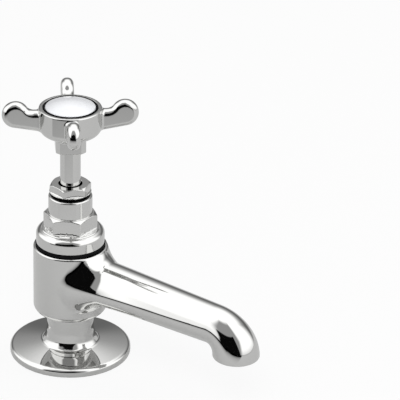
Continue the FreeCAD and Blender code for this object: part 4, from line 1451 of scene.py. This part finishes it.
@dataclass(frozen=True)
class Studio:
    """Pale floor, soft lamps and the surroundings that the chrome reflects."""

    floor_size: float = 12.0
    floor_share: float = 0.86
    # Painted shade on the floor that only glossy rays see: its radius, softness, the share of floor light
    # kept, and its arc of azimuths
    painted_shade_radius: float = 0.15
    painted_shade_soft: float = 0.4
    mirror_share: float = 0.82
    painted_shade_gap: tuple[float, float] = (-122.0, -26.0)
    gap_soft: float = 2.0
    horizon: tuple[float, float] = (-12.0, 14.0)
    sky_levels: tuple[float, float] = (0.62, 1.6)
    dull_level: float = 0.75
    camera_level: float = 1.0
    cards: tuple[Card, ...] = (
        Card(((-106, 34), (-98, 66), (-40, 72), (-22, 30), (-30, -20), (-104, -20)), 0.42, 14.0),
        Card(((58, -40), (58, 40), (175, 40), (175, -40)), 0.42, 28.0),
        Card(((66, 4), (72, 22), (166, 22), (172, 4)), 0.18, 12.0),
        Card(((-130, -3), (-130, 1), (-100, 2), (-100, -3)), 0.03, 2.0),
        Card(((-104, 21), (-48, 39), (-29, -9), (-29, -30), (-106, -30), (-106, -9)), 0.004),
    )

    def build(self) -> None:
        """Sets up the floor, the lamps and the surroundings."""
        self.lay_floor()
        self.hang_lamps()
        self.paint_surroundings()

    def lay_floor(self) -> None:
        """Lays the pale floor, which takes the tap's shadow. To glossy rays it is painted darker: a painted
        shade over the whole floor, and painted black shade beyond a small radius within an arc of azimuths.
        """
        half = self.floor_size / 2
        corners = [(-half, -half, 0), (half, -half, 0), (half, half, 0), (-half, half, 0)]
        mesh = bpy.data.meshes.new("studio_floor")
        mesh.from_pydata(corners, [], [(0, 1, 2, 3)])
        floor = bpy.data.objects.new("studio_floor", mesh)
        bpy.context.scene.collection.objects.link(floor)
        shader = Shader("studio_floor_paint")
        place = shader.node("SeparateXYZ", Vector=shader.node("TexCoord").outputs["Object"]).outputs
        front = shader.sum("MULTIPLY", place["Y"], -1.0)
        azimuth = shader.sum("DEGREES", shader.sum("ARCTAN2", place["X"], front))
        # Painted shade for glossy rays only: black within the arc of azimuths beyond the radius, and darker
        # by one less the mirror share everywhere else
        middle = sum(self.painted_shade_gap) / 2
        reach = middle - self.painted_shade_gap[0]
        aside = shader.sum("ABSOLUTE", shader.sum("SUBTRACT", azimuth, middle))
        within = shader.range(aside, 1.0, 0.0, reach - self.gap_soft, reach + self.gap_soft)
        squares = [shader.sum("POWER", side, 2.0) for side in (place["X"], front)]
        away = shader.sum("SQRT", shader.sum("ADD", *squares))
        off = shader.range(away, 0.0, 1.0, self.painted_shade_radius, self.painted_shade_radius + self.painted_shade_soft)
        path = shader.node("LightPath").outputs
        shade = shader.range(shader.sum("MULTIPLY", within, off), 1 - self.mirror_share, 1.0, 0.0, 1.0)
        # The painted shade applies to glossy rays alone
        dark = shader.sum("MULTIPLY", shade, path["Is Glossy Ray"])
        paint = shader.tint(shader.noise(Grain(40)), (0.8, 0.8, 0.8), (0.78, 0.78, 0.78))
        matt = shader.node("BsdfDiffuse", Color=paint)
        glow = shader.node("Emission", Color=(1, 1, 1, 1), Strength=1.0)
        share = shader.sum("MULTIPLY", path["Is Camera Ray"], self.floor_share)
        seen = shader.node("MixShader", Fac=share, _1=matt.outputs[0], _2=glow.outputs[0])
        black = shader.node("Emission", Color=(0, 0, 0, 1), Strength=0.0)
        mix = shader.node("MixShader", Fac=dark, _1=seen.outputs[0], _2=black.outputs[0])
        shader.tree.links.new(mix.outputs[0], shader.output.inputs["Surface"])
        mesh.materials.append(shader.material)

    def hang_lamps(self) -> None:
        """Hangs two soft lamps, which the surroundings stand for in reflections."""
        for name, place, size, power in (
            ("key_lamp", (-0.9, -0.5, 1.3), 0.9, 9.0),
            ("fill_lamp", (0.9, -0.7, 1.0), 1.0, 4.0),
        ):
            data = bpy.data.lights.new(name, "AREA")
            data.shape = "SQUARE"
            data.size = size
            data.energy = power
            lamp = bpy.data.objects.new(name, data)
            lamp.location = place
            lamp.rotation_mode = "QUATERNION"
            lamp.rotation_quaternion = (-Vector(place)).to_track_quat("-Z", "Y")
            lamp.visible_glossy = False
            bpy.context.scene.collection.objects.link(lamp)

    def paint_surroundings(self) -> None:
        """Paints the world: white behind the tap, and soft boxes and dark cards for reflections."""
        sky = Sky()
        way = sky.node("TexCoord").outputs["Generated"]
        across, deep, up = sky.node("SeparateXYZ", Vector=way).outputs
        height = sky.sum("DEGREES", sky.sum("ARCSINE", up))
        azimuth = sky.sum("DEGREES", sky.sum("ARCTAN2", across, sky.sum("MULTIPLY", deep, -1.0)))
        level = sky.step(height, *self.horizon, *self.sky_levels)
        for card in self.cards:
            outside = sky.beyond(azimuth, height, card)
            level = sky.step(outside, -card.soft / 2, card.soft / 2, card.level, level)
        path = sky.node("LightPath").outputs
        glossy = sky.step(path["Is Glossy Ray"], 0.0, 1.0, self.dull_level, level)
        strength = sky.step(path["Is Camera Ray"], 0.0, 1.0, glossy, self.camera_level)
        background = sky.node("Background", Color=(1, 1, 1, 1), Strength=strength)
        sky.node("OutputWorld", Surface=background.outputs[0])


INNER_FINISHES: dict[str, Finish] = {
    "gland_follower": BRASS,
    "gland_packing": NYLON,
    "valve_jumper": BRASS,
    "valve_washer": RUBBER,
    "washer_nut": BRASS,
    "handle_screw": STEEL,
    "index_carrier": BRASS,
    "outlet_ring": RUBBER,
    "outlet_insert": NYLON,
}


def dress_inner_pieces() -> None:
    """Gives the pieces that keep their CAD shape their finishes."""
    for name, finish in INNER_FINISHES.items():
        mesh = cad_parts[name].data
        mesh.materials.clear()
        mesh.materials.append(finish.material())
        LOG.info("%s: %s", name, finish.slot.value)


def main() -> None:
    """Builds the tap's pieces in order, and then the studio and the camera."""
    logging.basicConfig(level=logging.INFO, format="%(name)s %(message)s")
    for part in (Casting(), Fixings(), Headwork(), RisingSpindle(), Crosshead(), IndexButton()):
        part.build()
    dress_inner_pieces()
    Studio().build()
    Viewpoint().build()
    bpy.context.scene.view_settings.view_transform = "Standard"
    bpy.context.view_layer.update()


if __name__ == "__main__":
    main()
